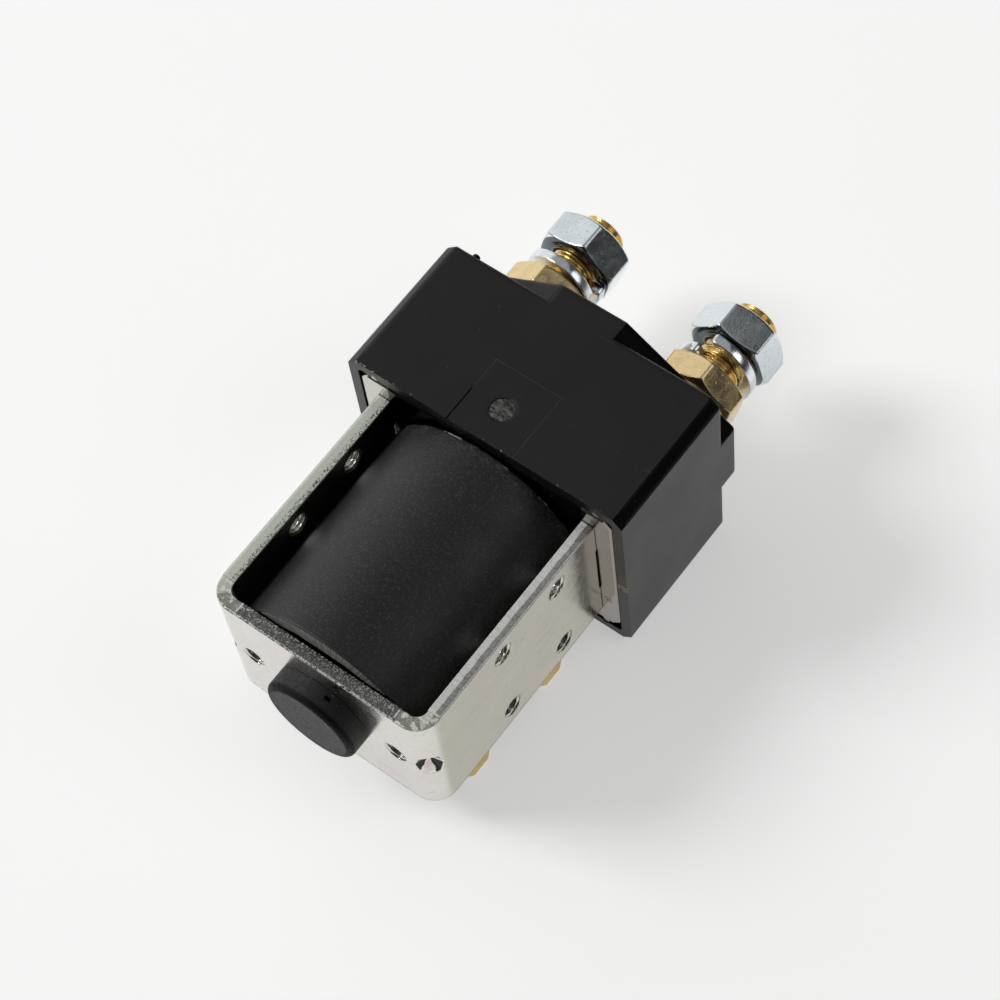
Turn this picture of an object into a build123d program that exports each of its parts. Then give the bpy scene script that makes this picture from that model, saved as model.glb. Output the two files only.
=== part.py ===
from build123d import *
import os
from math import cos, radians, sin, tan

os.makedirs("parts", exist_ok=True)

# Sizes are in millimetres. The switch lies on one long side of its housing, as it
# would on a bench: X across the two studs, Y along the plunger towards the studs,
# Z up. The rim of the housing's open mouth is the station that lengths start from.

# Running and assembly clearances, each on the radius or on one face
running_fit = 0.06
assembly_fit = 0.05
seat_gap = 0.05

# Moulded housing over the contacts
housing_width = 62.4
housing_depth = 47.5
housing_length = 31.0
housing_wall = 2.2
housing_floor = 3.5
housing_edge = 2.0
housing_rim_edge = 0.9
plateau_rise = 4.2
plateau_side_width = 16.4
plateau_top_width = 14.6
plateau_corner = 1.2
plateau_edge = 0.8
corner_post_width = 6.85
corner_post_depth = 8.45
gate_mark_radius = 2.5
gate_mark_depth = 0.2
gate_mark_station = 7.1
gate_mark_offset = -0.6
nub_radius = 0.8
nub_height = 1.0
nub_round = 0.45
nub_inset_x = 6.0
nub_inset_z = 1.75

# U-shaped magnet frame, bent from sheet
frame_width = 49.6
frame_depth = 32.3
frame_length = 50.7
frame_thickness = 2.7
frame_bend_radius = 2.2
bend_mark_across = 6.6
bend_mark_along = 5.1
bend_mark_depth = 0.3
leg_relief_width = 15.0
leg_relief_depth = 0.4
tenon_width = 4.6
tenon_spacing = 24.0
dart_sides = 6
dart_radius = 4.2
dart_tip_radius = 0.5
dart_depth = 1.9
dart_boss = 0.5
dart_boss_radius = 2.6
dart_boss_tip_radius = 0.6
leg_inner = frame_width / 2 - frame_thickness

# Tapped mounting holes in the frame, to the root of their threads
tapped_radius = 2.5
tapped_countersink = 2.65
leg_hole_centres = {"left": 20.26, "right": 19.72}
leg_hole_pitch = 16.1
leg_hole_spacing = 22.4
end_hole_spacing = 33.2

# Plate that closes the housing and carries the frame and the fixed core
plate_side_gap = 0.4
plate_end_gap = 1.05
plate_width = housing_width - 2 * (housing_wall + plate_side_gap)
plate_depth = housing_depth - 2 * (housing_wall + plate_end_gap)
plate_thickness = 3.0
plate_corner = 1.6
plate_edge = 0.35

# Solenoid coil
coil_side_gap = 0.2
coil_radius = leg_inner - coil_side_gap
coil_tape_thickness = 0.6
bobbin_wall = 1.5
bobbin_flange = 1.4
bobbin_flange_inset = 0.3
bobbin_flange_radius = coil_radius - bobbin_flange_inset
bobbin_bend_gap = 0.4
bobbin_flange_across = 2 * (leg_inner - frame_bend_radius - bobbin_bend_gap)
coil_end_gap = 0.3
tape_set_back = 0.5
tube_wall = 0.6

# Coil terminals, flat blades that point down out of the frame's lower open side
blade_width = 6.3
blade_thickness = 0.8
blade_length = 9.6
blade_tip_chamfer = 1.1
blade_lean = 19.0
blade_tip_inset = 1.85
blade_tip_offset = frame_width / 2 - blade_tip_inset
blade_hole_radius = 0.75
blade_hole_from_tip = 3.6
blade_centres = (14.6, 37.3)
strip_length = 33.5
strip_top = 10.6
strip_bottom = 17.4
strip_side_gap = 0.3

# Solenoid core, plunger and rod
plunger_radius = 10.1
plunger_length = 25.8
plunger_tail_radius = 5.5
plunger_tail_length = 4.6
core_gap = 0.3
core_neck_radius = 8.0
rod_radius = 2.5
rod_set_in = 12.1
rod_end_proud = 0.3
spring_pocket_radius = 5.6
spring_pocket_depth = 6.0
contact_travel = 3.0
over_travel = 0.8
stop_gap = 0.1

# Cap over the plunger's tail
cap_radius = 10.0
cap_length = 4.7
cap_edge = 0.8
cap_wall = 1.3
cap_rim_width = 1.3
cap_dish_depth = 0.3
cap_dish_round = 0.2
cap_spigot_radius = 8.0
cap_notch_width = 1.4
cap_notch_depth = 0.5
cap_notch_angle = 62.0
cap_notch_station = 1.7

# Main contacts
stud_inset = 13.0
stud_pitch = housing_width - 2 * stud_inset
contact_tip_radius = 4.5
contact_tip_thickness = 1.2
bridge_overhang = 0.3
bridge_length = stud_pitch + 2 * (contact_tip_radius + bridge_overhang)
bridge_width = 9.5
bridge_thickness = 2.5
bush_radius = 4.0
bush_flange_radius = 6.6
bush_flange_thickness = 2.4
bush_washer_radius = 6.2
bush_washer_thickness = 0.8
rod_nut_across = 8.0
rod_nut_thickness = 2.7
spring_seat_radius = 6.2
spring_seat_thickness = 0.8
spring_seat_station = 4.6
seat_ring_radius = 3.9
seat_ring_thickness = 0.6
seat_ring_opening = 2.6

# Springs
wire_sides = 8
return_wire = 0.9
return_coil_radius = 4.3
return_turns = 6.5
contact_wire = 1.1
contact_coil_radius = 4.6
contact_turns = 4.5

# Main studs and what is on them
stud_radius = 5.0
stud_reach = 25.8
stud_chamfer = 0.9
stud_head_radius = 7.4
stud_head_thickness = 3.5
collar_across = 16.0
collar_thickness = 6.0
collar_shoulder_radius = 7.4
collar_shoulder_length = 3.6
nut_across = 16.0
nut_thickness = 7.7
nut_chamfer_share = 0.94
nut_chamfer_angle = 30.0
washer_outer_radius = 8.0
washer_inner_radius = 5.25
washer_thickness = 2.5
washer_space = 5.7
washer_opening = 14.0
collar_turns = {"left": 35.5, "right": 18.0}
nut_turns = {"left": 13.8, "right": 43.3}
washer_splits = {"left": 10.0, "right": 109.0}

# Pins set into the housing's corner posts, along the plate's two long edges
pin_radius = 0.75
pin_length = 26.0
pin_inset = 3.4
pin_spacing_x = plate_width - 2 * pin_inset
pin_spacing_z = plate_depth + 2 * (pin_radius + assembly_fit)
pin_start = 0.2
pin_end_round = 0.4

# Stations along Y, from the housing mouth
axis_height = housing_depth / 2
plateau_station = housing_length + plateau_rise
stud_tip_station = plateau_station + stud_reach
mouth_y = (frame_length + cap_length - stud_tip_station) / 2
inner_face_station = housing_length - housing_floor
stud_head_station = inner_face_station - stud_head_thickness
fixed_tip_station = stud_head_station - contact_tip_thickness
moving_tip_station = fixed_tip_station - contact_travel - stop_gap
bridge_station = moving_tip_station - contact_tip_thickness - bridge_thickness
bush_station = bridge_station - bush_flange_thickness
end_plate_station = -frame_length + frame_thickness
cap_dish_station = -frame_length - cap_length + cap_dish_depth
coil_near_station = end_plate_station + coil_end_gap
coil_far_station = -coil_end_gap
plunger_station = end_plate_station + stop_gap
plunger_top_station = plunger_station + plunger_length
core_length = -plunger_top_station - contact_travel - over_travel - core_gap
tube_inner_radius = plunger_radius + running_fit
tube_outer_radius = tube_inner_radius + tube_wall
bobbin_inner_radius = tube_outer_radius + assembly_fit
bobbin_tube_radius = bobbin_inner_radius + bobbin_wall
winding_radius = coil_radius - coil_tape_thickness - assembly_fit
collar_station = plateau_station + collar_shoulder_length
washer_station = collar_station + collar_thickness
nut_station = washer_station + washer_space


def station(distance, x=0.0, turn=0.0):
    """Plane across the long axis and facing the studs, a distance from the mouth.
    Its own x runs along X turned upwards by `turn` degrees."""
    return Plane(
        origin=(x, mouth_y + distance, axis_height),
        x_dir=(cos(radians(turn)), 0, sin(radians(turn))),
        z_dir=(0, 1, 0),
    )


def lathe_plane(x=0.0):
    """Plane that holds a turned profile: radius along X, station along Y."""
    return Plane(origin=(x, mouth_y, axis_height), x_dir=(1, 0, 0), z_dir=(0, 0, 1))


def lathe_axis(x=0.0):
    return Axis((x, mouth_y, axis_height), (0, 1, 0))


def save(piece, name):
    piece.part.label = name
    export_step(piece.part, f"parts/{name}.step")


# Magnet frame: one sheet bent to a U, open at the top and the bottom
with BuildPart() as magnet_frame:
    with BuildSketch(Plane.XY.offset(axis_height - frame_depth / 2)) as frame_outline:
        with Locations((0, mouth_y)):
            Rectangle(frame_width, frame_length, align=(Align.CENTER, Align.MAX))
        outer_corners = frame_outline.vertices().group_by(Axis.Y)[0]
        fillet(outer_corners, frame_bend_radius + frame_thickness)
        with Locations((0, mouth_y)):
            Rectangle(
                frame_width - 2 * frame_thickness,
                frame_length - frame_thickness,
                align=(Align.CENTER, Align.MAX),
                mode=Mode.SUBTRACT,
            )
        inner_y = mouth_y + end_plate_station
        inner_corners = frame_outline.vertices().filter_by_position(
            Axis.Y, inner_y - seat_gap, inner_y + seat_gap
        )
        fillet(inner_corners, frame_bend_radius)
    extrude(amount=frame_depth)
    # Bends are a little lower than the sheet edges beside them
    with Locations((0, mouth_y - frame_length, axis_height)):
        with GridLocations(frame_width, 0, 2, 1):
            for level in (-frame_depth / 2, frame_depth / 2):
                with Locations((0, 0, level)):
                    Box(
                        2 * bend_mark_across,
                        2 * bend_mark_along,
                        2 * bend_mark_depth,
                        mode=Mode.SUBTRACT,
                    )
    # Pressed darts stiffen both bends: a six-sided dent outside and a boss inside
    bend_centre = frame_bend_radius + frame_thickness
    for sign in (-1, 1):
        outward = Vector(sign, -1, 0).normalized()
        centre = Vector(
            sign * (frame_width / 2 - bend_centre),
            mouth_y - frame_length + bend_centre,
            axis_height,
        )
        inside = centre + outward * (frame_bend_radius + dart_boss)
        with Locations(Plane(origin=inside, z_dir=-outward)):
            Cone(
                dart_boss_radius,
                dart_boss_tip_radius,
                2 * dart_boss,
                align=(Align.CENTER, Align.CENTER, Align.MIN),
            )
        outside = centre + outward * bend_centre
        dent_plane = Plane(origin=outside, x_dir=(1, sign, 0), z_dir=-outward)
        with BuildSketch(dent_plane):
            RegularPolygon(dart_radius, dart_sides)
        with BuildSketch(dent_plane.offset(dart_depth)):
            RegularPolygon(dart_tip_radius, dart_sides)
        loft(mode=Mode.SUBTRACT)
    # Leg ends: relief in the middle, and two tenons each for the plate
    with BuildSketch(station(-leg_relief_depth)):
        Rectangle(frame_width, leg_relief_width)
    extrude(amount=leg_relief_depth, mode=Mode.SUBTRACT)
    with BuildSketch(station(0)):
        with GridLocations(frame_width - frame_thickness, tenon_spacing, 2, 2):
            Rectangle(frame_thickness, tenon_width)
    extrude(amount=plate_thickness)
    # Hole behind the cap, and tapped mounting holes
    with BuildSketch(station(-frame_length)):
        Circle(cap_spigot_radius + assembly_fit)
    extrude(amount=frame_thickness, mode=Mode.SUBTRACT)
    end_face = Plane(
        origin=(0, mouth_y - frame_length, axis_height), x_dir=(1, 0, 0), z_dir=(0, -1, 0)
    )
    with Locations(end_face):
        with GridLocations(end_hole_spacing, 0, 2, 1):
            CounterSinkHole(tapped_radius, tapped_countersink, frame_thickness, 90)
    for side, sign in (("left", -1), ("right", 1)):
        leg_face = Plane(
            origin=(sign * frame_width / 2, mouth_y - leg_hole_centres[side], axis_height),
            x_dir=(0, 1, 0),
            z_dir=(sign, 0, 0),
        )
        with Locations(leg_face):
            with GridLocations(leg_hole_pitch, leg_hole_spacing, 2, 2):
                CounterSinkHole(tapped_radius, tapped_countersink, frame_thickness, 90)
save(magnet_frame, "magnet_frame")

# Top plate
with BuildPart() as top_plate:
    with BuildSketch(station(0)) as plate_outline:
        Rectangle(plate_width, plate_depth)
        chamfer(plate_outline.vertices(), plate_corner)
        Circle(core_neck_radius + assembly_fit, mode=Mode.SUBTRACT)
        with GridLocations(frame_width - frame_thickness, tenon_spacing, 2, 2):
            Rectangle(
                frame_thickness + 2 * assembly_fit,
                tenon_width + 2 * assembly_fit,
                mode=Mode.SUBTRACT,
            )
    extrude(amount=plate_thickness)
    near_face = top_plate.faces().sort_by(Axis.Y)[0]
    chamfer(near_face.outer_wire().edges(), plate_edge)
save(top_plate, "top_plate")

# Contact housing: open box with a raised plateau that carries the studs
half_width = housing_width / 2
half_depth = housing_depth / 2
with BuildPart() as contact_housing:
    with BuildSketch(station(0)) as housing_outline:
        Rectangle(housing_width, housing_depth)
        chamfer(housing_outline.vertices(), housing_edge)
    extrude(amount=housing_length)
    far_face = contact_housing.faces().sort_by(Axis.Y)[-1]
    fillet(far_face.outer_wire().edges(), housing_rim_edge)
    with BuildSketch(station(housing_length - housing_rim_edge)) as plateau_outline:
        with BuildLine():
            Polyline(
                (-half_width, -plateau_side_width / 2),
                (-plateau_top_width / 2, -half_depth),
                (plateau_top_width / 2, -half_depth),
                (half_width, -plateau_side_width / 2),
                (half_width, plateau_side_width / 2),
                (plateau_top_width / 2, half_depth),
                (-plateau_top_width / 2, half_depth),
                (-half_width, plateau_side_width / 2),
                close=True,
            )
        make_face()
        fillet(plateau_outline.vertices(), plateau_corner)
    extrude(amount=plateau_rise + housing_rim_edge)
    plateau_face = contact_housing.faces().sort_by(Axis.Y)[-1]
    fillet(plateau_face.outer_wire().edges(), plateau_edge)
    with BuildSketch(station(0)) as cavity_outline:
        Rectangle(housing_width, housing_depth)
        chamfer(cavity_outline.vertices(), housing_edge)
        offset(amount=-housing_wall, kind=Kind.INTERSECTION)
    extrude(amount=inner_face_station, mode=Mode.SUBTRACT)
    # Corner posts that hold the pins, stopping on the plate
    with BuildSketch(station(plate_thickness + seat_gap)):
        with GridLocations(
            housing_width - 1.5 * housing_wall - corner_post_width,
            housing_depth - 1.5 * housing_wall - corner_post_depth,
            2,
            2,
        ):
            Rectangle(corner_post_width, corner_post_depth)
    extrude(amount=inner_face_station - plate_thickness - seat_gap)
    with BuildSketch(station(0)):
        with GridLocations(pin_spacing_x, pin_spacing_z, 2, 2):
            Circle(pin_radius + assembly_fit)
    extrude(amount=pin_start + pin_length + seat_gap, mode=Mode.SUBTRACT)
    with BuildSketch(station(inner_face_station)):
        with GridLocations(stud_pitch, 0, 2, 1):
            Circle(stud_radius + assembly_fit)
    extrude(amount=housing_floor + plateau_rise, mode=Mode.SUBTRACT)
    # Round mark that the mould's gate left on the long side that faces up
    with BuildSketch(Plane.XY.offset(housing_depth)):
        with Locations((gate_mark_offset, mouth_y + gate_mark_station)):
            Circle(gate_mark_radius)
    extrude(amount=-gate_mark_depth, mode=Mode.SUBTRACT)
    # Small nub on the far face, by its upper left corner
    with BuildSketch(station(housing_length - housing_rim_edge)):
        with Locations((nub_inset_x - half_width, nub_inset_z - half_depth)):
            Circle(nub_radius)
    extrude(amount=housing_rim_edge + nub_height)
    fillet(contact_housing.edges(Select.LAST).sort_by(Axis.Y)[-1], nub_round)
save(contact_housing, "contact_housing")

# Cap over the plunger's tail, with a spigot that grips in the frame
with BuildPart() as end_cap:
    with BuildSketch(lathe_plane()):
        with BuildLine():
            Polyline(
                (0, cap_dish_station),
                (cap_radius - cap_rim_width, cap_dish_station),
                (cap_radius - cap_rim_width, cap_dish_station - cap_dish_depth),
                (cap_radius, cap_dish_station - cap_dish_depth),
                (cap_radius, -frame_length),
                (cap_spigot_radius, -frame_length),
                (cap_spigot_radius, end_plate_station),
                (cap_spigot_radius - cap_wall, end_plate_station),
                (cap_spigot_radius - cap_wall, cap_dish_station + cap_wall),
                (0, cap_dish_station + cap_wall),
                close=True,
            )
        make_face()
    revolve(axis=lathe_axis())
    cap_rims = end_cap.edges().filter_by(GeomType.CIRCLE).group_by(Axis.Y)[0]
    cap_rims = cap_rims.sort_by(SortBy.RADIUS)
    fillet(cap_rims[-1], cap_edge)
    fillet(cap_rims[0], cap_dish_round)
    with BuildSketch(station(-frame_length - cap_notch_station, turn=cap_notch_angle)):
        with Locations((cap_radius, 0)):
            Rectangle(2 * cap_notch_depth, cap_notch_width)
    extrude(amount=cap_notch_width / 2, mode=Mode.SUBTRACT)
save(end_cap, "end_cap")

# Coil: bobbin, winding and the tape, which also laps the bobbin's far flange
with BuildPart() as coil_bobbin:
    with BuildSketch(lathe_plane()):
        with BuildLine():
            Polyline(
                (bobbin_inner_radius, coil_near_station),
                (bobbin_flange_radius, coil_near_station),
                (bobbin_flange_radius, coil_near_station + bobbin_flange),
                (bobbin_tube_radius, coil_near_station + bobbin_flange),
                (bobbin_tube_radius, coil_far_station - bobbin_flange),
                (winding_radius, coil_far_station - bobbin_flange),
                (winding_radius, coil_far_station),
                (bobbin_inner_radius, coil_far_station),
                close=True,
            )
        make_face()
    revolve(axis=lathe_axis())
    # Flats on the flange beside the end plate keep it clear of the frame's bends
    with BuildSketch(station(coil_near_station)):
        Rectangle(frame_width, frame_width)
        Rectangle(bobbin_flange_across, frame_width, mode=Mode.SUBTRACT)
    extrude(amount=bobbin_flange, mode=Mode.SUBTRACT)
save(coil_bobbin, "coil_bobbin")

winding_near = coil_near_station + bobbin_flange + assembly_fit
winding_far = coil_far_station - bobbin_flange - assembly_fit
with BuildPart() as coil_winding:
    with BuildSketch(station(winding_near)):
        Circle(winding_radius)
        Circle(bobbin_tube_radius + assembly_fit, mode=Mode.SUBTRACT)
    extrude(amount=winding_far - winding_near)
save(coil_winding, "coil_winding")

with BuildPart() as coil_tape:
    with BuildSketch(station(winding_near)):
        Circle(coil_radius)
        Circle(coil_radius - coil_tape_thickness, mode=Mode.SUBTRACT)
    extrude(amount=coil_far_station - tape_set_back - winding_near)
save(coil_tape, "coil_tape")

# Coil terminals: a moulded strip in the corner between coil and leg, and two blades
strip_start = -sum(blade_centres) / 2 - strip_length / 2
with BuildPart() as terminal_strip:
    with BuildSketch(station(strip_start)):
        with Locations((leg_inner - strip_side_gap, strip_top)):
            Rectangle(
                leg_inner / 2, strip_bottom - strip_top, align=(Align.MAX, Align.MIN)
            )
        Circle(coil_radius + assembly_fit, mode=Mode.SUBTRACT)
    extrude(amount=strip_length)
    for centre in blade_centres:
        blade_tip = (blade_tip_offset, mouth_y - centre, 0)
        blade_plane = Plane(
            origin=blade_tip,
            x_dir=(0, 1, 0),
            z_dir=(cos(radians(blade_lean)), 0, sin(radians(blade_lean))),
        )
        with BuildSketch(blade_plane.offset(-blade_thickness / 2 - assembly_fit)):
            Rectangle(
                blade_width + 2 * assembly_fit,
                blade_length + assembly_fit,
                align=(Align.CENTER, Align.MIN),
            )
        extrude(amount=blade_thickness + 2 * assembly_fit, mode=Mode.SUBTRACT)
save(terminal_strip, "terminal_strip")

for place, centre in zip(("front", "rear"), blade_centres):
    blade_tip = (blade_tip_offset, mouth_y - centre, 0)
    blade_plane = Plane(
        origin=blade_tip,
        x_dir=(0, 1, 0),
        z_dir=(cos(radians(blade_lean)), 0, sin(radians(blade_lean))),
    )
    tip_lift = blade_thickness / 2 * tan(radians(blade_lean))
    with BuildPart() as coil_blade:
        with BuildSketch(blade_plane.offset(-blade_thickness / 2)) as blade_outline:
            with Locations((0, tip_lift)):
                Rectangle(
                    blade_width, blade_length - tip_lift, align=(Align.CENTER, Align.MIN)
                )
            chamfer(blade_outline.vertices().group_by(Axis.Z)[0], blade_tip_chamfer)
            with Locations((0, blade_hole_from_tip)):
                Circle(blade_hole_radius, mode=Mode.SUBTRACT)
        extrude(amount=blade_thickness)
    save(coil_blade, f"coil_blade_{place}")

# Guide tube, fixed core and the moving plunger inside the coil
with BuildPart() as guide_tube:
    with BuildSketch(station(end_plate_station + seat_gap)):
        Circle(tube_outer_radius)
        Circle(tube_inner_radius, mode=Mode.SUBTRACT)
    extrude(amount=-end_plate_station - 2 * seat_gap)
save(guide_tube, "guide_tube")

with BuildPart() as fixed_core:
    with BuildSketch(lathe_plane()):
        with BuildLine():
            Polyline(
                (rod_radius + running_fit, plate_thickness),
                (core_neck_radius, plate_thickness),
                (core_neck_radius, 0),
                (plunger_radius, 0),
                (plunger_radius, -core_length),
                (spring_pocket_radius, -core_length),
                (spring_pocket_radius, -core_length + spring_pocket_depth),
                (rod_radius + running_fit, -core_length + spring_pocket_depth),
                close=True,
            )
        make_face()
    revolve(axis=lathe_axis())
save(fixed_core, "fixed_core")

rod_station = plunger_top_station - spring_pocket_depth - rod_set_in
bush_top_station = bridge_station + bridge_thickness + seat_gap
rod_nut_station = bush_top_station + bush_washer_thickness + 2 * seat_gap
rod_end_station = rod_nut_station + rod_nut_thickness + rod_end_proud
with BuildPart() as plunger:
    with BuildSketch(lathe_plane()):
        with BuildLine():
            Polyline(
                (0, plunger_station - plunger_tail_length),
                (plunger_tail_radius, plunger_station - plunger_tail_length),
                (plunger_tail_radius, plunger_station),
                (plunger_radius, plunger_station),
                (plunger_radius, plunger_top_station),
                (spring_pocket_radius, plunger_top_station),
                (spring_pocket_radius, plunger_top_station - spring_pocket_depth),
                (rod_radius + assembly_fit, plunger_top_station - spring_pocket_depth),
                (rod_radius + assembly_fit, rod_station),
                (0, rod_station),
                close=True,
            )
        make_face()
    revolve(axis=lathe_axis())
save(plunger, "plunger")

with BuildPart() as push_rod:
    with BuildSketch(station(rod_station)):
        Circle(rod_radius)
    extrude(amount=rod_end_station - rod_station)
    chamfer(push_rod.edges().group_by(Axis.Y)[-1], rod_radius / 5)
save(push_rod, "push_rod")

# What is on the rod: spring seat and its open ring below, washer and nut above
with BuildPart() as spring_seat:
    with BuildSketch(station(spring_seat_station)):
        Circle(spring_seat_radius)
        Circle(rod_radius + assembly_fit, mode=Mode.SUBTRACT)
    extrude(amount=spring_seat_thickness)
save(spring_seat, "spring_seat")

with BuildPart() as seat_ring:
    with BuildSketch(station(spring_seat_station - seat_gap - seat_ring_thickness)):
        Circle(seat_ring_radius)
        Circle(rod_radius + assembly_fit, mode=Mode.SUBTRACT)
        Rectangle(
            seat_ring_radius,
            seat_ring_opening,
            align=(Align.MIN, Align.CENTER),
            mode=Mode.SUBTRACT,
        )
    extrude(amount=seat_ring_thickness)
save(seat_ring, "seat_ring")

with BuildPart() as bush_washer:
    with BuildSketch(station(bush_top_station + seat_gap)):
        Circle(bush_washer_radius)
        Circle(rod_radius + assembly_fit, mode=Mode.SUBTRACT)
    extrude(amount=bush_washer_thickness)
save(bush_washer, "bush_washer")

with BuildPart() as rod_nut:
    with BuildSketch(station(rod_nut_station)):
        RegularPolygon(rod_nut_across / 2, 6, major_radius=False)
        Circle(rod_radius + assembly_fit, mode=Mode.SUBTRACT)
    extrude(amount=rod_nut_thickness)
save(rod_nut, "rod_nut")

# Moving contact bridge on its insulating bush
with BuildPart() as bridge_bush:
    with BuildSketch(lathe_plane()):
        with BuildLine():
            Polyline(
                (rod_radius + running_fit, bush_station),
                (bush_flange_radius, bush_station),
                (bush_flange_radius, bridge_station),
                (bush_radius, bridge_station),
                (bush_radius, bush_top_station),
                (rod_radius + running_fit, bush_top_station),
                close=True,
            )
        make_face()
    revolve(axis=lathe_axis())
save(bridge_bush, "bridge_bush")

with BuildPart() as contact_bridge:
    with BuildSketch(station(bridge_station)):
        SlotOverall(bridge_length, bridge_width)
        Circle(bush_radius + assembly_fit, mode=Mode.SUBTRACT)
    extrude(amount=bridge_thickness)
save(contact_bridge, "contact_bridge")


def coil_spring(start, end, wire, coil_radius, turns):
    """Compression spring that fills the space between two stations. Its wire is
    drawn with a few flats so that the many turns stay light."""
    rise = end - start - wire - 2 * seat_gap
    with BuildPart() as wire_coil:
        with BuildLine() as path:
            Helix(pitch=rise / turns, height=rise, radius=coil_radius)
        with BuildSketch(Plane(origin=path.line @ 0, z_dir=path.line % 0)):
            RegularPolygon(wire / 2, wire_sides)
        sweep(is_frenet=True)
    with BuildPart() as spring:
        with Locations(station(start + wire / 2 + seat_gap)):
            add(wire_coil.part)
    return spring


return_spring = coil_spring(
    plunger_top_station - spring_pocket_depth,
    -core_length + spring_pocket_depth,
    return_wire,
    return_coil_radius,
    return_turns,
)
save(return_spring, "return_spring")

contact_spring = coil_spring(
    spring_seat_station + spring_seat_thickness,
    bush_station,
    contact_wire,
    contact_coil_radius,
    contact_turns,
)
save(contact_spring, "contact_spring")


def hexagon_bar(start, end, across, x, turn):
    """Hexagon between two stations, its corners turned off at both ends."""
    face_radius = across / 2 * nut_chamfer_share
    clear_radius = across / 2 / cos(radians(30)) + assembly_fit
    drop = (clear_radius - face_radius) * tan(radians(nut_chamfer_angle))
    with BuildPart() as bar:
        with BuildSketch(station(start, x)):
            RegularPolygon(across / 2, 6, major_radius=False, rotation=-turn)
        extrude(amount=end - start)
        with BuildSketch(lathe_plane(x)):
            with BuildLine():
                Polyline(
                    (0, start),
                    (face_radius, start),
                    (clear_radius, start + drop),
                    (clear_radius, end - drop),
                    (face_radius, end),
                    (0, end),
                    close=True,
                )
            make_face()
        revolve(axis=lathe_axis(x), mode=Mode.INTERSECT)
    return bar.part


for side, sign in (("left", -1), ("right", 1)):
    stud_x = sign * stud_pitch / 2

    # Stud with its hexagon head inside the housing
    with BuildPart() as stud:
        with BuildSketch(station(stud_head_station, stud_x)):
            RegularPolygon(stud_head_radius, 6, major_radius=False)
        extrude(amount=stud_head_thickness)
        with BuildSketch(station(inner_face_station, stud_x)):
            Circle(stud_radius)
        extrude(amount=stud_tip_station - inner_face_station)
        chamfer(stud.edges().group_by(Axis.Y)[-1], stud_chamfer)
    save(stud, f"stud_{side}")

    for name, start in (
        ("fixed_contact", fixed_tip_station),
        ("moving_contact", moving_tip_station - contact_tip_thickness),
    ):
        with BuildPart() as contact_tip:
            with BuildSketch(station(start, stud_x)):
                Circle(contact_tip_radius)
            extrude(amount=contact_tip_thickness)
        save(contact_tip, f"{name}_{side}")

    # Collar nut that clamps the stud in the moulding
    collar_hexagon = hexagon_bar(
        collar_station, washer_station, collar_across, stud_x, collar_turns[side]
    )
    with BuildPart() as collar_nut:
        add(collar_hexagon)
        with BuildSketch(station(plateau_station, stud_x)):
            Circle(collar_shoulder_radius)
        extrude(amount=collar_shoulder_length)
        with BuildSketch(station(plateau_station, stud_x)):
            Circle(stud_radius + assembly_fit)
        extrude(amount=washer_station - plateau_station, mode=Mode.SUBTRACT)
    save(collar_nut, f"collar_nut_{side}")

    # Spring washer, one open turn that is not yet pulled flat
    turned_share = 1 - washer_opening / 360
    washer_rise = washer_space - washer_thickness - 2 * seat_gap
    washer_start = washer_station + washer_thickness / 2 + seat_gap
    with BuildPart() as open_turn:
        with BuildLine() as washer_path:
            Helix(
                pitch=washer_rise / turned_share,
                height=washer_rise,
                radius=(washer_outer_radius + washer_inner_radius) / 2,
                lefthand=True,
            )
        section_plane = Plane(
            origin=washer_path.line @ 0, x_dir=(1, 0, 0), z_dir=washer_path.line % 0
        )
        with BuildSketch(section_plane):
            Rectangle(washer_outer_radius - washer_inner_radius, washer_thickness)
        sweep(is_frenet=True)
    washer_turn = washer_splits[side] + washer_opening / 2
    with BuildPart() as lock_washer:
        with Locations(station(washer_start, stud_x, washer_turn)):
            add(open_turn.part)
    save(lock_washer, f"lock_washer_{side}")

    nut_hexagon = hexagon_bar(
        nut_station, nut_station + nut_thickness, nut_across, stud_x, nut_turns[side]
    )
    with BuildPart() as terminal_nut:
        add(nut_hexagon)
        with BuildSketch(station(nut_station, stud_x)):
            Circle(stud_radius + assembly_fit)
        extrude(amount=nut_thickness, mode=Mode.SUBTRACT)
    save(terminal_nut, f"terminal_nut_{side}")

# Cover pins, each from the mouth to its rounded end in a corner post
pin_places = GridLocations(pin_spacing_x, pin_spacing_z, 2, 2).local_locations
for number, place in enumerate(pin_places, start=1):
    with BuildPart() as cover_pin:
        with BuildSketch(station(pin_start)):
            with Locations(place):
                Circle(pin_radius)
        extrude(amount=pin_length)
        fillet(cover_pin.edges().group_by(Axis.Y)[-1], pin_end_round)
    save(cover_pin, f"cover_pin_{number}")
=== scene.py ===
import math
import bpy
import numpy as np
from mathutils import Matrix, Vector


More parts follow.
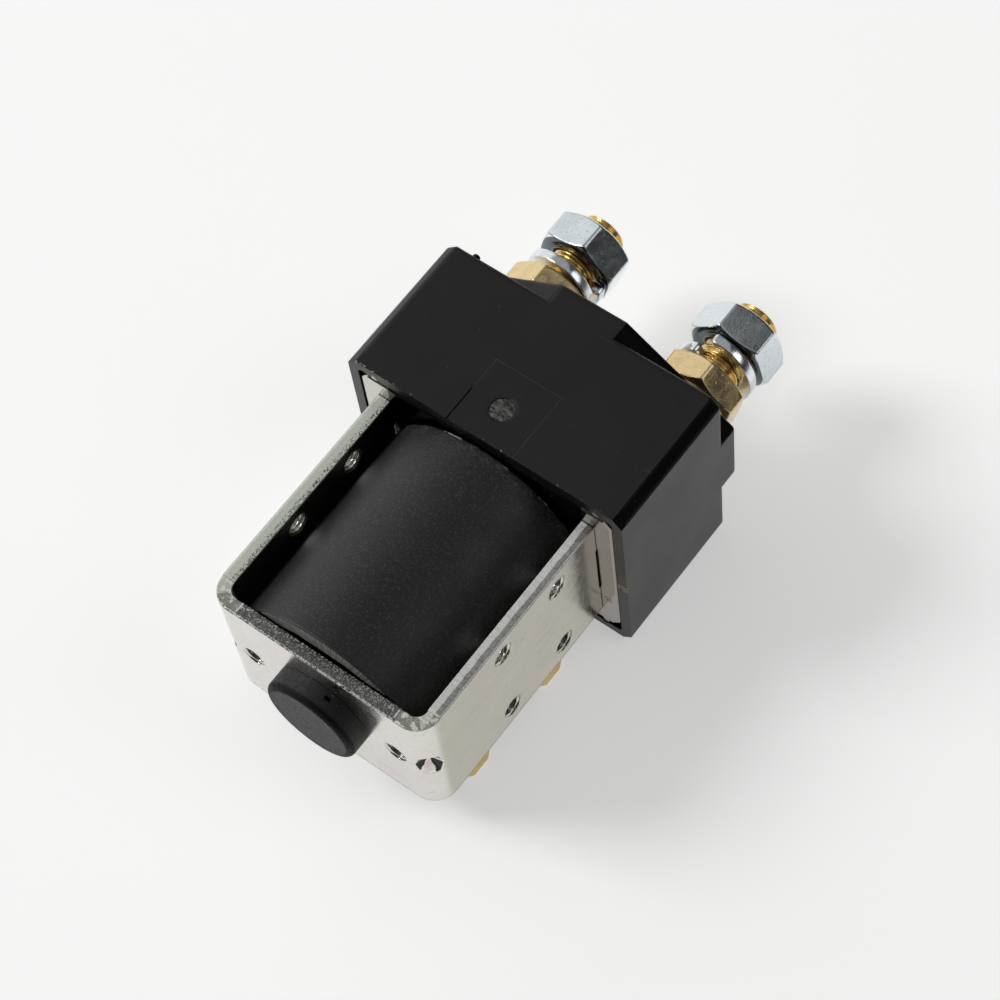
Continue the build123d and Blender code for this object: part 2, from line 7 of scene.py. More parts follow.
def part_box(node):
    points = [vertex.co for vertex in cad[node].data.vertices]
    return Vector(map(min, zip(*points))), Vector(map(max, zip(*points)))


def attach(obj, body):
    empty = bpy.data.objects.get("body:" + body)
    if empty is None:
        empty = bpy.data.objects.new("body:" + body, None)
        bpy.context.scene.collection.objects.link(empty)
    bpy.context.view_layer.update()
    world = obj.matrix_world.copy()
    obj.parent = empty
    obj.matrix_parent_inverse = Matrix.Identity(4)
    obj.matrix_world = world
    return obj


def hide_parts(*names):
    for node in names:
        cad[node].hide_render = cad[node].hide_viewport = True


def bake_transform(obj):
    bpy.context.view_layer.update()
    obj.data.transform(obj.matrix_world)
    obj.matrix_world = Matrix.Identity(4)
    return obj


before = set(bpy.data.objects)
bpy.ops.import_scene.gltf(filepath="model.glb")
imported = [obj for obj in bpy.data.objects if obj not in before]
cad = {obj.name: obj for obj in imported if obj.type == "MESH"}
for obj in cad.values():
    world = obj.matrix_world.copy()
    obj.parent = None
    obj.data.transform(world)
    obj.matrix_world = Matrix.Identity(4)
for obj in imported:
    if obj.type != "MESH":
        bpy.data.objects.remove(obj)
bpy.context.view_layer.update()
mm = 0.001
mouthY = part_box("contact_housing")[0].y  # rim of the housing's open mouth, where lengths start
axisZ = (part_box("contact_housing")[0].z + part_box("contact_housing")[1].z) / 2  # height of the plunger's axis
sides = (("left", -1), ("right", 1))
print("frame loaded,", len(cad), "nodes")


# Small helpers for node trees

def mathNode(operation):  # makes an operator that adds this Math node
    return lambda a, b: calc(operation, a, b)


class Field:  # one value in a node tree; its operators add Math nodes, so a mask reads like its formula
    def __init__(self, node, output=0):
        self.node, self.tree, self.socket = node, node.id_data, node.outputs[output]

    __add__, __sub__ = mathNode("ADD"), mathNode("SUBTRACT")
    __mul__, __truediv__ = mathNode("MULTIPLY"), mathNode("DIVIDE")
    __lt__, __gt__ = mathNode("LESS_THAN"), mathNode("GREATER_THAN")

    def __rsub__(self, other):
        return calc("SUBTRACT", other, self)

    def __abs__(self):
        return calc("ABSOLUTE", self)

    def held(self):  # kept from 0 to 1
        self.node.use_clamp = True
        return self


def plug(socket, value):  # a field is linked, anything else becomes the socket's own value
    if isinstance(value, Field):
        value.tree.links.new(value.socket, socket)
    else:
        socket.default_value = (*value, 1) if socket.type == "RGBA" else value


def addNode(tree, kind, inputs=None, **settings):
    node = tree.nodes.new(kind)
    for name, value in settings.items():
        setattr(node, name, value)
    for key, value in (inputs or {}).items():
        plug(node.inputs[key], value)
    return node


def calc(operation, a, b=0.0):
    tree = a.tree if isinstance(a, Field) else b.tree
    return Field(addNode(tree, "ShaderNodeMath", {0: a, 1: b}, operation=operation))


larger, smaller = mathNode("MAXIMUM"), mathNode("MINIMUM")


def hypotenuse(a, b):
    return calc("SQRT", a * a + b * b)


def vectorCalc(operation, a, b, output=0):
    return Field(addNode(a.tree, "ShaderNodeVectorMath", {0: a, 1: b}, operation=operation), output)


def ramp(value, low, high, toLow=0.0, toHigh=1.0):  # smooth step from one value to another
    inputs = {"Value": value, "From Min": low, "From Max": high, "To Min": toLow, "To Max": toHigh}
    return Field(addNode(value.tree, "ShaderNodeMapRange", inputs, interpolation_type="SMOOTHSTEP"))


def falling(value, low, high):  # 1 below low, 0 above high
    return ramp(value, low, high, 1.0, 0.0)


def within(value, low, high, soft):  # 1 between low and high, with soft sides
    return ramp(value, low - soft, low + soft) * falling(value, high - soft, high + soft)


def axesOf(vector):
    node = addNode(vector.tree, "ShaderNodeSeparateXYZ", {0: vector})
    return [Field(node, axis) for axis in range(3)]


def moved(place, **inputs):
    return Field(addNode(place.tree, "ShaderNodeMapping", {"Vector": place, **inputs}))


def noise(place, scale, detail, roughness=0.5):
    inputs = {"Vector": place, "Scale": scale, "Detail": detail, "Roughness": roughness}
    return Field(addNode(place.tree, "ShaderNodeTexNoise", inputs), "Fac")


def noiseAlong(value, detail):
    inputs = {"W": value, "Scale": 1.0, "Detail": detail}
    return Field(addNode(value.tree, "ShaderNodeTexNoise", inputs, noise_dimensions="1D"), "Fac")


def blendColour(share, first, second):
    return Field(addNode(share.tree, "ShaderNodeMix", {0: share, 6: first, 7: second}, data_type="RGBA"), 2)


def scaled(colour, factor, more=0.0):
    return tuple(min(1, c * factor + more) for c in colour)


def clouded(share, colour, darker, paler):
    return blendColour(share, scaled(colour, darker), scaled(colour, paler))


def newGroup(name, output, **inputs):  # one number makes a plain input, None or three numbers a vector
    tree = bpy.data.node_groups.new(name, "ShaderNodeTree")
    for label, value in inputs.items():
        kind = "NodeSocketFloat" if isinstance(value, float) else "NodeSocketVector"
        socket = tree.interface.new_socket(label, in_out="INPUT", socket_type=kind)
        if value is not None:
            socket.default_value = value
    tree.interface.new_socket(output, in_out="OUTPUT", socket_type="NodeSocketFloat")
    source, target = tree.nodes.new("NodeGroupInput"), tree.nodes.new("NodeGroupOutput")
    return tree, {label: Field(source, label) for label in inputs}, target.inputs[output]


def effect(group, place, **inputs):  # the one output of a shared effect at a place
    return Field(addNode(place.tree, "ShaderNodeGroup", {"Vector": place, **inputs}, node_tree=group))


# Shared surface effects

# Long thin strokes: noise squeezed across each of four directions, kept at its peaks and in patches.
def makeScratches():
    tree, given, out = newGroup("fineScratches", "Mask", Vector=None, Scale=300.0, Amount=0.5)
    total = None
    for number, turn in enumerate(((0.1, 0.2, 0.5), (0.7, 0.3, 1.9), (1.3, 0.9, 2.7), (0.4, 1.2, 3.6))):
        shift = (number * 0.37, 0.11 * number, 0.05)
        turned = moved(given["Vector"], Rotation=turn, Scale=(0.03, 1.0, 1.0), Location=shift)
        strokes = noise(turned, given["Scale"], 1.0)
        patches = noise(given["Vector"], 95.0 + 37 * number, 2.0)
        limit = 0.86 - given["Amount"] * 0.26
        line = ramp(strokes, limit, limit + 0.035)
        kept = line * ramp(patches, 0.42, 0.62)
        total = kept if total is None else larger(total, kept)
    plug(out, total)
    return tree


# Small round specks: distance to the nearest of scattered points, kept for a share of the points.
def makeSpecks():
    tree, given, out = newGroup("dustSpecks", "Mask", Vector=None, Scale=900.0, Size=0.2, Share=0.1)
    points = addNode(tree, "ShaderNodeTexVoronoi",
                     {"Vector": given["Vector"], "Scale": given["Scale"], "Randomness": 1.0})
    near = falling(Field(points, "Distance"), given["Size"] * 0.6, given["Size"])
    pick = Field(addNode(tree, "ShaderNodeSeparateColor", {"Color": Field(points, "Color")}))
    plug(out, near * (pick < given["Share"]))
    return tree


# Cloudy variation from 0 to 1: noise with its contrast stretched.
def makeMottle():
    tree, given, out = newGroup("mottle", "Value", Vector=None, Scale=100.0, Contrast=2.0)
    broad = noise(given["Vector"], given["Scale"], 6.0, 0.62)
    plug(out, ((broad - 0.5) * given["Contrast"] + 0.5).held())
    return tree


# Streaks along one direction: noise of a point whose coordinate along that direction is squeezed.
def makeDrawn():
    tree, given, out = newGroup("drawnStreaks", "Value", Vector=None, Stretch=(0.05, 1.0, 1.0), Scale=1500.0)
    squeezed = vectorCalc("MULTIPLY", given["Vector"], given["Stretch"])
    plug(out, noise(squeezed, given["Scale"], 3.0, 0.7))
    return tree


# How far a rounded-off normal leans from the true one: 0 on flats, towards 1 along edges, in patches.
def makeEdgeWear():
    tree, given, out = newGroup("edgeWear", "Mask", Rounded=None, Vector=None, Amount=1.0)
    flat = Field(addNode(tree, "ShaderNodeNewGeometry"), "Normal")
    edge = ramp(vectorCalc("DOT_PRODUCT", given["Rounded"], flat, "Value"), 0.995, 0.88)
    broken = noise(given["Vector"], 700.0, 4.0)
    plug(out, (edge * ramp(broken, 0.35, 0.6) * given["Amount"]).held())
    return tree


scratches, specks, mottle = makeScratches(), makeSpecks(), makeMottle()
drawn, edgeWear = makeDrawn(), makeEdgeWear()
print("shared effects made")


class Surface:  # one material being put together: a Principled shader with its place, bump and rounded edges
    def __init__(self, name, metallic=0.0, coat=0.0):
        self.material = bpy.data.materials.new(name)
        self.material.use_nodes = True
        self.tree = self.material.node_tree
        self.shader = self.tree.nodes["Principled BSDF"]
        for label, value in (("Metallic", metallic), ("IOR", 1.5), ("Coat Weight", coat),
                             ("Coat Roughness", 0.2), ("Specular IOR Level", 0.5)):
            self.put(label, value)
        self.place = Field(addNode(self.tree, "ShaderNodeTexCoord"), "Object")
        self.x, self.y, self.z = axesOf(self.place)
        self.normal = None

    def put(self, label, value):
        plug(self.shader.inputs[label], value)

    def group(self, group, **inputs):
        return effect(group, self.place, **inputs)

    def mottled(self, scale, contrast):
        return self.group(mottle, Scale=scale, Contrast=contrast)

    def specked(self, scale, size, share):
        return self.group(specks, Scale=scale, Size=size, Share=share)

    def scratched(self, scale, amount):
        return self.group(scratches, Scale=scale, Amount=amount)

    def roundEdges(self, radius):
        self.normal = Field(addNode(self.tree, "ShaderNodeBevel", {"Radius": radius}, samples=4))
        return self.group(edgeWear, Rounded=self.normal)

    def bump(self, height, distance):
        below = {} if self.normal is None else {"Normal": self.normal}
        node = addNode(self.tree, "ShaderNodeBump", {"Height": height, "Distance": distance, **below})
        self.normal = Field(node)

    def lay(self, mask, colour):  # a colour over what lies there already
        self.colour = blendColour(mask, self.colour, colour)

    def finish(self, roughness):
        self.put("Base Color", self.colour)
        self.put("Roughness", roughness)
        self.put("Normal", self.normal)
        return self.material


# Materials

housing = {
    "colour": (0.0075, 0.0075, 0.0078), "worn": (0.05, 0.05, 0.052), "dust": (0.20, 0.20, 0.19),
    "scuff": (0.50, 0.50, 0.48), "black": (0.001, 0.001, 0.001), "brassRub": (0.42, 0.28, 0.09),
    "gate": (0.012, 0.012, 0.012), "gatePale": (0.20, 0.198, 0.185),
    "roughness": (0.38, 0.43), "grain": 0.000012, "crease": 0.00003, "gateDepth": 0.00012,
    "edgeRound": (0.0002, 0.0012), "softEdges": (0.5, 2.5), "plateau": (30.2, 30.6),
    "leftChamfer": (-30.9, -30.6), "topFace": (23.3, 23.5), "topRim": (23.2, 23.6), "nearTop": (23.0, 23.2),
    "gateCentre": (-0.6, 7.1), "gateRadius": (2.38, 2.5), "paleLine": (0.03, 0.12), "darkLine": (0.1, 0.2),
    "insertHalfWidth": 7.4, "insertCentre": -0.5, "insertEnd": 15.0,
    "lineByMouth": (7.0, 9.0), "lineAtEnd": (14.6, 14.8), "darkLineLeftOf": (-7.0, -6.6),
    "rim": (-0.1, 0.3), "rimAcross": (-30.0, -18.0), "rimShare": (0.62, 0.93),
    "rub": (20.6, 22.6), "rubFrom": (27.9, 28.1), "rubDepth": (0.2, 0.35),
}


def span(pair, origin=0.0):  # two lengths in millimetres, from an origin in metres
    return origin + pair[0] * mm, origin + pair[1] * mm


# Black moulding: a cloudy base, then in turn scratches, the insert's outline, dust, the scuffed mouth,
# a brassy rub and the rough gate mark, each laid over by its own mask.
def makeHousing():
    s = housing
    m = Surface("blackMoulding")
    alongY = m.y - mouthY
    m.roundEdges(ramp(alongY, *span(s["softEdges"]), *s["edgeRound"]))  # sharp at the mouth, soft beyond it
    facing = axesOf(Field(addNode(m.tree, "ShaderNodeNewGeometry"), "Normal"))
    tilted = ramp(facing[2], 0.15, 0.35)
    beyond = ramp(alongY, *span(s["plateau"]))
    polished = ramp(facing[0], 0.15, 0.4) * tilted
    dull = falling(facing[0], -0.4, -0.2) * tilted * ramp(m.x, *span(s["leftChamfer"]))
    topFace = ramp(m.z, *span(s["topFace"], axisZ))
    # outline of the mould's insert on the upper side: distance to a rectangle open at the mouth
    fromSides = abs(m.x - s["insertCentre"] * mm) - s["insertHalfWidth"] * mm
    fromEnd = alongY - s["insertEnd"] * mm
    fromOutline = abs(larger(fromSides, fromEnd))
    outline = falling(fromOutline, *span(s["paleLine"])) * topFace
    broken = ramp(m.mottled(170.0, 3.5), 0.3, 0.6)
    nearMouth = falling(alongY, *span(s["lineByMouth"]))
    atEnd = ramp(alongY, *span(s["lineAtEnd"]))
    leftPart = falling(m.x, *span(s["darkLineLeftOf"]))
    darkLine = falling(fromOutline, *span(s["darkLine"])) * topFace * nearMouth * leftPart
    paleLine = outline * broken * larger(atEnd, nearMouth * (1.0 - leftPart))
    # rough disc where the gate was, with dark cracks
    fromGate = hypotenuse(m.x - s["gateCentre"][0] * mm, alongY - s["gateCentre"][1] * mm)
    nearTop = ramp(m.z, *span(s["nearTop"], axisZ))
    gate = falling(fromGate, *span(s["gateRadius"])) * nearTop
    slanted = moved(m.place, Rotation=(0.0, 0.0, 0.9), Scale=(0.4, 1.0, 1.0))
    gateTone = effect(mottle, slanted, Scale=1700.0, Contrast=5.5)
    # white specks on the upper edge of the mouth, most of them to the left
    rimNoise = m.mottled(1500.0, 3.5)
    rimPlace = within(alongY, *span(s["rim"]), 0.08 * mm) * ramp(m.z, *span(s["topRim"], axisZ))
    rimShare = ramp(m.x, *span(s["rimAcross"]), *s["rimShare"])
    rim = rimPlace * ramp(rimNoise, rimShare, rimShare + 0.1)
    # short brassy rub across the mouth's right wall
    rubHeight = m.z + (rimNoise - 0.5) * (0.5 * mm)
    rub = within(rubHeight, *span(s["rub"]), 0.15 * mm) * ramp(m.x, *span(s["rubFrom"]))
    rub = rub * (falling(alongY, *span(s["rubDepth"])) * ramp(rimNoise, 0.25, 0.5))
    lines = m.scratched(520.0, 0.46)
    dust = m.specked(700.0, 0.11, 0.03)
    fineDust = m.specked(2300.0, 0.2, 0.025)
    cloud = m.mottled(60.0, 2.2)
    m.colour = clouded(cloud, s["colour"], 0.85, 1.15)
    m.lay(lines * 0.35, s["worn"])
    m.lay(paleLine * 0.45, s["worn"])
    m.lay(darkLine * 0.8, s["black"])
    m.lay(larger(dust, fineDust) * 0.4, s["dust"])
    m.lay(rim * 0.9, s["scuff"])
    m.lay(rub, s["brassRub"])
    m.lay(gate, blendColour(gateTone, s["gate"], s["gatePale"]))
    slant = polished * beyond  # painted shade: the plateau's right slant, which looks away from every lamp, is painted black
    m.lay(slant * 0.75, s["black"])
    rough = (ramp(cloud, 0.2, 0.8, *s["roughness"]) + gate * 0.3).held()
    rough = (rough - polished * 0.24).held()
    less = dull * 0.34 + (polished * 0.36 + darkLine * 0.5) + slant * 0.12
    m.put("Specular IOR Level", (0.5 - less).held())
    m.bump(noise(m.place, 2600.0, 3.0), s["grain"])
    m.bump(larger(outline, lines * 0.4) * -1.0, s["crease"])
    m.bump(gateTone * gate, s["gateDepth"])
    return m.finish(rough)


# Plain moulding: a cloudy base with paler edges, scratches and dust.
def makePlastic(name, colour, roughness):
    m = Surface(name)
    edge = m.roundEdges(0.00015)
    cloud = m.mottled(220.0, 2.0)
    dust = m.specked(1300.0, 0.16, 0.04)
    lines = m.scratched(700.0, 0.4)
    m.colour = clouded(cloud, colour, 0.8, 1.25)
    m.lay(edge * 0.35, scaled(colour, 3, 0.03))
    m.lay(lines * 0.25, scaled(colour, 2, 0.04))
    m.lay(dust * 0.5, (0.3, 0.3, 0.29))
    m.bump(noise(m.place, 2600.0, 3.0), 0.00001)
    return m.finish(ramp(cloud, 0.1, 0.9, roughness - 0.06, roughness + 0.08))


cap = {
    "colour": (0.012, 0.012, 0.0125), "dish": (0.020, 0.020, 0.020), "dust": (0.7, 0.7, 0.68),
    "edge": (0.05, 0.05, 0.05), "shade": (0.002, 0.002, 0.002), "notch": (0.001, 0.001, 0.001),
    "radius": 10.0, "length": 4.7, "foot": -50.7, "spigot": 8.0, "spigotEnd": -48.0, "wall": 1.3,
    "inner": -53.8, "edgeRound": 1.3, "dishRadius": 8.3, "dishDepth": 0.05,
    "crumbs": (-0.95, -0.35), "crumbsAbove": (8.2, 8.6),
    "roundingAlong": (-54.5, -53.8), "roundingFrom": (8.5, 8.9), "around": 360,
    "notchTurn": 69.0, "notchHalf": 4.0, "notchStart": -52.4, "notchEnd": -51.7, "notchDepth": 0.5,
}


# Matt cap: a cloudy base, greyer in the dish, with edges, dust, a few pale crumbs on its upper side by
# the frame, painted shade on the rounding where the side meets the face, and a notch painted dark inside as
# shade.
def makeCap():
    s = cap
    m = Surface("capPlastic")
    edge = m.roundEdges(0.00015)
    fromZ = m.z - axisZ
    radius = hypotenuse(m.x, fromZ)
    dish = falling(radius, (s["dishRadius"] - 0.3) * mm, (s["dishRadius"] + 0.3) * mm)
    cloud = m.mottled(260.0, 2.4)
    fine = m.mottled(1900.0, 2.6)
    dust = m.specked(1500.0, 0.15, 0.03)
    along = m.y - mouthY
    row = within(along, *span(s["crumbs"], s["foot"] * mm), 0.05 * mm) * ramp(fromZ, *span(s["crumbsAbove"]))
    crumbs = row * m.specked(800.0, 0.3, 0.3)
    rounding = falling(along, *span(s["roundingAlong"])) * ramp(radius, *span(s["roundingFrom"]))
    turn = calc("ARCTAN2", fromZ, m.x)
    low, high = (math.radians(s["notchTurn"] + side * s["notchHalf"]) for side in (-1, 1))
    notch = within(turn, low, high, 0.01) * within(along, s["notchStart"] * mm, s["notchEnd"] * mm, 0.03 * mm)
    m.colour = clouded(cloud, s["colour"], 0.85, 1.2)
    m.lay(dish * ramp(fine, 0.2, 0.8, 0.5, 1.0), s["dish"])
    m.lay(edge * 0.15, s["edge"])
    m.lay(larger(dust * 0.35, crumbs), s["dust"])
    # painted shade: the rounding and the inside of the notch are painted near black
    m.lay(rounding * 0.8, s["shade"])
    m.lay(notch, s["notch"])
    m.put("Specular IOR Level", ramp(larger(notch, rounding * 0.7), 0.0, 1.0, 0.5, 0.05))
    m.bump(fine, 0.00003)
    return m.finish(ramp(fine, 0.1, 0.9, 0.5, 0.68))


coilTape = {
    "colour": (0.0115, 0.0115, 0.0117), "pale": (0.062, 0.062, 0.063), "farGlint": (0.55, 0.55, 0.53),
    "dust": (0.16, 0.16, 0.15), "shoulder": (0.09, 0.09, 0.09), "roughness": (0.40, 0.50),
    "grainScale": 2300.0, "grain": 0.00003, "fineGrain": 0.00002, "farGlintAlong": (-0.4, -0.25),
    "sheenAlong": (-3.0, -0.8), "sheenAcross": (2.0, 14.0),
    "lap": 1.35, "radius": 21.9, "thickness": 0.6, "endRound": 0.35, "lump": 0.04, "wrinkle": 0.28,
    "around": 360, "along": 150,
}


# Leathery tape: a cloudy base with a pale grain, a shoulder at the far end painted paler as sheen, more on the
# right, dust and scratches, and white specks at the far end painted as glints.
def makeTape():
    s = coilTape
    m = Surface("coilTape")
    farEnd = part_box("coil_tape")[1].y
    cloud = m.mottled(90.0, 2.0)
    leather = m.mottled(s["grainScale"], 2.6)
    fine = noise(m.place, 4200.0, 4.0)
    dust = m.specked(1700.0, 0.17, 0.04)
    lines = m.scratched(420.0, 0.4)
    # painted glints: white specks at the far end, where edges catch light
    farGlints = ramp(m.y, *span(s["farGlintAlong"], farEnd)) * ramp(m.mottled(260.0, 3.2), 0.8, 0.86)
    m.colour = clouded(cloud, s["colour"], 0.85, 1.2)
    m.lay(ramp(leather, 0.5, 0.95) * 0.75, s["pale"])
    # painted sheen: the far end's shoulder is painted paler, more so towards the right
    shoulder = ramp(m.y, *span(s["sheenAlong"], farEnd)) * ramp(m.x, *span(s["sheenAcross"]), 0.35, 1.0)
    m.lay(shoulder * ramp(leather, 0.3, 0.9), s["shoulder"])
    m.lay(larger(dust, lines * 0.4) * 0.35, s["dust"])
    m.lay(farGlints, s["farGlint"])
    m.bump(leather, s["grain"])
    m.bump(fine, s["fineGrain"])
    return m.finish(ramp(cloud, 0.15, 0.85, *s["roughness"]))


flange = {
    "colour": (0.06, 0.058, 0.052), "pale": (0.30, 0.295, 0.265), "shade": (0.002, 0.002, 0.002),
    "roughness": 0.5, "ribs": 46.0, "gap": (5.0, 10.0), "gapRise": 1.3, "shadeBelow": (16.2, 16.5),
    "farFlange": (-30, -29),
}


# The bobbin: fine ribs round its flange, and deep shade low on the flange beside the end plate.
def makeFlange():
    s = flange
    m = Surface("bobbinPlastic")
    m.roundEdges(0.00012)
    fromZ = m.z - axisZ
    ribs = noiseAlong(calc("ARCTAN2", fromZ, m.x) * s["ribs"], 1.0)
    cloud = m.mottled(500.0, 2.5)
    top = falling(abs(m.x), *span(s["gap"])) * (s["gapRise"] * mm)
    shade = falling(abs(fromZ) - top, *span(s["shadeBelow"]))
    m.colour = blendColour(ramp(ribs, 0.4, 0.6) * 0.7, s["colour"], s["pale"])
    m.lay(cloud * 0.3, s["colour"])
    shade = larger(shade, ramp(m.y, *span(s["farFlange"], mouthY)))  # the far flange is painted in shade too
    m.lay(shade, s["shade"])
    m.bump(ribs, 0.00005)
    m.put("Specular IOR Level", (1.0 - shade) * 0.5)
    return m.finish(s["roughness"])


zinc = {
    "pale": (0.74, 0.73, 0.69), "green": (0.66, 0.69, 0.57), "pink": (0.72, 0.63, 0.65),
    "dark": (0.24, 0.25, 0.235), "grit": (0.12, 0.125, 0.12), "bright": (0.95, 0.95, 0.92),
    "legFace": (0.93, 0.93, 0.86), "leftEdgeLit": (0.75, 0.78, 0.68), "leftFleck": (0.10, 0.11, 0.10),
    "stain": (0.20, 0.10, 0.04), "black": (0.02, 0.024, 0.022), "shadow": (0.05, 0.05, 0.06),
    "crack": (0.006, 0.006, 0.006), "dent": (0.03, 0.032, 0.03),
    "roughness": (0.16, 0.25), "sheet": 2.7, "halfHeight": (15.7, 15.8),
    "stainAt": (26.4, 12.9), "stainRadius": (0.7, 1.5), "coilHalf": (22.0, 22.2), "shadowFrom": (21.0, 23.0),
    "legFaceTo": (0.1, 0.3), "cornerRoll": 0.55, "crackAlong": (-0.13, 0.2),
    "bendAcross": 6.6, "bendAlong": 5.1, "bendRadius": 4.9, "notchWidth": 0.35,
    "dartFrom": (3.0, 4.8), "dartHalfHeight": 3.7,
}


# Zinc plating: pale with clouds of green and pink, rolling streaks, pits, hairlines and bright edges.
# The top plate is shaded between the legs. The frame's cut edges and darts have a function of their own.
def makeZinc(name, tint=(1.0, 1.0, 1.0), rolled=(1.0, 0.05, 1.0), cutEdge=False, shaded=False):
    s = zinc
    m = Surface(name, metallic=1.0)
    edge = m.roundEdges(0.0002)
    tone = {key: tuple(a * b for a, b in zip(s[key], tint))
            for key in ("pale", "green", "pink", "dark", "grit", "bright")}
    green = m.mottled(130.0, 3.0)
    pink = effect(mottle, moved(m.place, Location=(0.3, 0.1, 0.2)), Scale=75.0, Contrast=3.0)
    fine = m.mottled(1100.0, 2.0)
    streaks = m.group(drawn, Stretch=rolled, Scale=1700.0)
    lines = m.scratched(900.0, 0.42)
    pits = m.specked(1000.0, 0.13, 0.04)
    m.colour = blendColour(green * 0.6, tone["pale"], tone["green"])
    m.lay(pink * 0.5, tone["pink"])
    m.lay(ramp(streaks, 0.45, 0.75) * 0.12, tone["dark"])
    m.lay(pits * 0.4, tone["dark"])
    m.lay(larger(lines * 0.5, edge) * 0.7, tone["bright"])
    hair = m.scratched(640.0, 0.5)
    m.lay(hair * 0.3, tone["dark"])
    if shaded:  # painted shade and dark reflection: black between the legs, a painted shadow towards the right, and one brown mark
        between = falling(abs(m.x), *span(s["coilHalf"]))
        m.lay(between * 0.95, s["black"])
        stainAt = (s["stainAt"][0] * mm, mouthY, s["stainAt"][1] * mm)
        fromStain = vectorCalc("DISTANCE", m.place, stainAt, "Value")
        m.lay(ramp(m.x, *span(s["shadowFrom"]), 0.0, 0.32), s["shadow"])
        m.lay(falling(fromStain, *span(s["stainRadius"])) * ramp(fine, 0.45, 0.7), s["stain"])
    rough = ramp(fine, 0.2, 0.85, *s["roughness"])
    height = streaks * 0.5
    if cutEdge:
        rough, height = addCutEdge(m, tone, rough, height, green, fine)
    m.bump(height, 0.00002)
    m.bump(m.mottled(300.0, 1.5), 0.00004)
    m.bump((lines + pits) * -1.0, 0.000012)
    return m.finish(rough)


# The sheet's sheared edge: torn and striated by the outer face, smoother inside. Depth is the share of
# the sheet's thickness from the nearest outer face, on a leg or on the back.
def addCutEdge(m, tone, rough, height, green, fine):
    s = zinc
    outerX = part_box("magnet_frame")[1].x
    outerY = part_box("magnet_frame")[0].y
    fromSide = outerX - abs(m.x)
    fromBack = m.y - outerY
    depth = smaller(fromSide, fromBack) / (s["sheet"] * mm)
    up = ramp(abs(m.z - axisZ), *span(s["halfHeight"]))
    onLeg = fromSide < fromBack
    legTears = m.group(drawn, Stretch=(0.12, 1.0, 0.12), Scale=2200.0)
    backTears = m.group(drawn, Stretch=(1.0, 0.3, 0.3), Scale=2200.0)
    tears = legTears * onLeg + backTears * (1.0 - onLeg)
    wander = (m.mottled(260.0, 1.6) - 0.5) * 0.2
    # burnished half of the legs' edge, on the coil's side, and the torn rest
    burnished = ramp(depth + wander, 0.46, 0.54) * up * onLeg
    torn = (1.0 - burnished) * up
    grit = m.mottled(1500.0, 4.5)
    tornColour = blendColour(ramp(tears, 0.4, 0.62), tone["grit"], tone["dark"])
    tornColour = blendColour(onLeg * 0.4, tornColour, tone["pale"])
    tornColour = blendColour((1.0 - onLeg) * 0.5, tornColour, tone["grit"])
    m.lay(torn * 0.92, tornColour)
    m.lay(burnished * ramp(tears, 0.36, 0.56, 0.5, 1.0), tone["bright"])
    # what shows pale on the edge: its outer rim, flecks in the torn part, the burnished half, the left leg
    rim = falling(depth, 0.06, 0.11) * up * ramp(grit, 0.3, 0.5)
    sparks = m.mottled(3400.0, 4.5)
    flecks = torn * ramp(sparks, 0.62, 0.95) * ramp(depth, 0.2, 1.0, 0.35, 0.9)
    leftLeg = onLeg * up * (m.x < 0.0)
    pale = larger(larger(rim, flecks), burnished * ramp(sparks, 0.25, 0.7, 0.6, 1.0))
    pale = larger(pale, torn * onLeg * ramp(tears, 0.42, 0.58, 0.0, 0.32))
    m.lay(larger(rim, flecks), tone["bright"])
    innerPart = ramp(depth + wander, 0.58, 0.72)
    # painted light: the left leg's cut edge is painted paler than the right leg's, with dark flecks inside
    m.lay(leftLeg, s["leftEdgeLit"])
    m.lay(leftLeg * innerPart * ramp(sparks, 0.5, 0.75), s["leftFleck"])
    pale = larger(pale, leftLeg)
    height = height + tears * up * 2.5
    rough = (rough + up * 0.08).held()
    # yellower outer faces of the legs
    legFace = falling(fromSide, *span(s["legFaceTo"])) * (1.0 - up)
    m.lay(legFace, vectorCalc("MULTIPLY", m.colour, s["legFace"]))
    # the shear rolls the outer corner over, which the bump below shows
    roll = (1.0 - smaller(fromSide, fromBack) / (s["cornerRoll"] * mm)).held()
    m.bump(roll * roll * up * -1.0, 0.00022)
    # greenish bends between notch edges painted bright, with crumpled patches painted bright too, as highlights
    inBend = (fromSide < s["bendAcross"] * mm) * (fromBack < s["bendAlong"] * mm) * up
    m.lay(inBend * 0.6, tone["green"])
    across, along = (within(distance, s[key] * mm, (s[key] + s["notchWidth"]) * mm, 0.04 * mm)
                     for distance, key in ((fromSide, "bendAcross"), (fromBack, "bendAlong")))
    notch = larger(across, along)
    crumpleHighlight = inBend * ramp(m.mottled(700.0, 4.0), 0.66, 0.8)
    notch = larger(notch * up * ramp(grit, 0.2, 0.5), crumpleHighlight)
    m.lay(notch, tone["bright"])
    m.put("Metallic", 1.0 - larger(pale, notch) * 0.9)
    m.bump(inBend * -1.0, 0.00015)
    # dark line where the legs meet the plate
    crack = within(m.y - mouthY, *span(s["crackAlong"]), 0.03 * mm)
    m.lay(crack * 0.95, s["crack"])
    # pressed darts: painted reflections, dark and bright facets by turns round each one's middle
    across = abs(m.x) - outerX - (-s["bendRadius"] * mm)
    behind = s["bendRadius"] * mm - fromBack
    dent = within(hypotenuse(across, behind), *span(s["dartFrom"]), 0.06 * mm)
    dent = dent * ((across > 0.5 * mm) * (behind > 0.5 * mm))
    fromMiddle = abs(m.z - axisZ)
    dent = dent * (fromMiddle < s["dartHalfHeight"] * mm)
    sideways = (across - behind) / math.sqrt(2)
    sector = calc("ARCTAN2", m.z - axisZ, sideways)
    wave = calc("SINE", sector * 3.0 + ramp(m.x, -0.001, 0.001, 3.7, 0.6)) + (fine - 0.5) * 0.8
    facets = blendColour(ramp(wave, -0.1, 0.1), s["dent"], blendColour(green, tone["bright"], tone["pink"]))
    m.lay(dent, facets)
    return rough, height


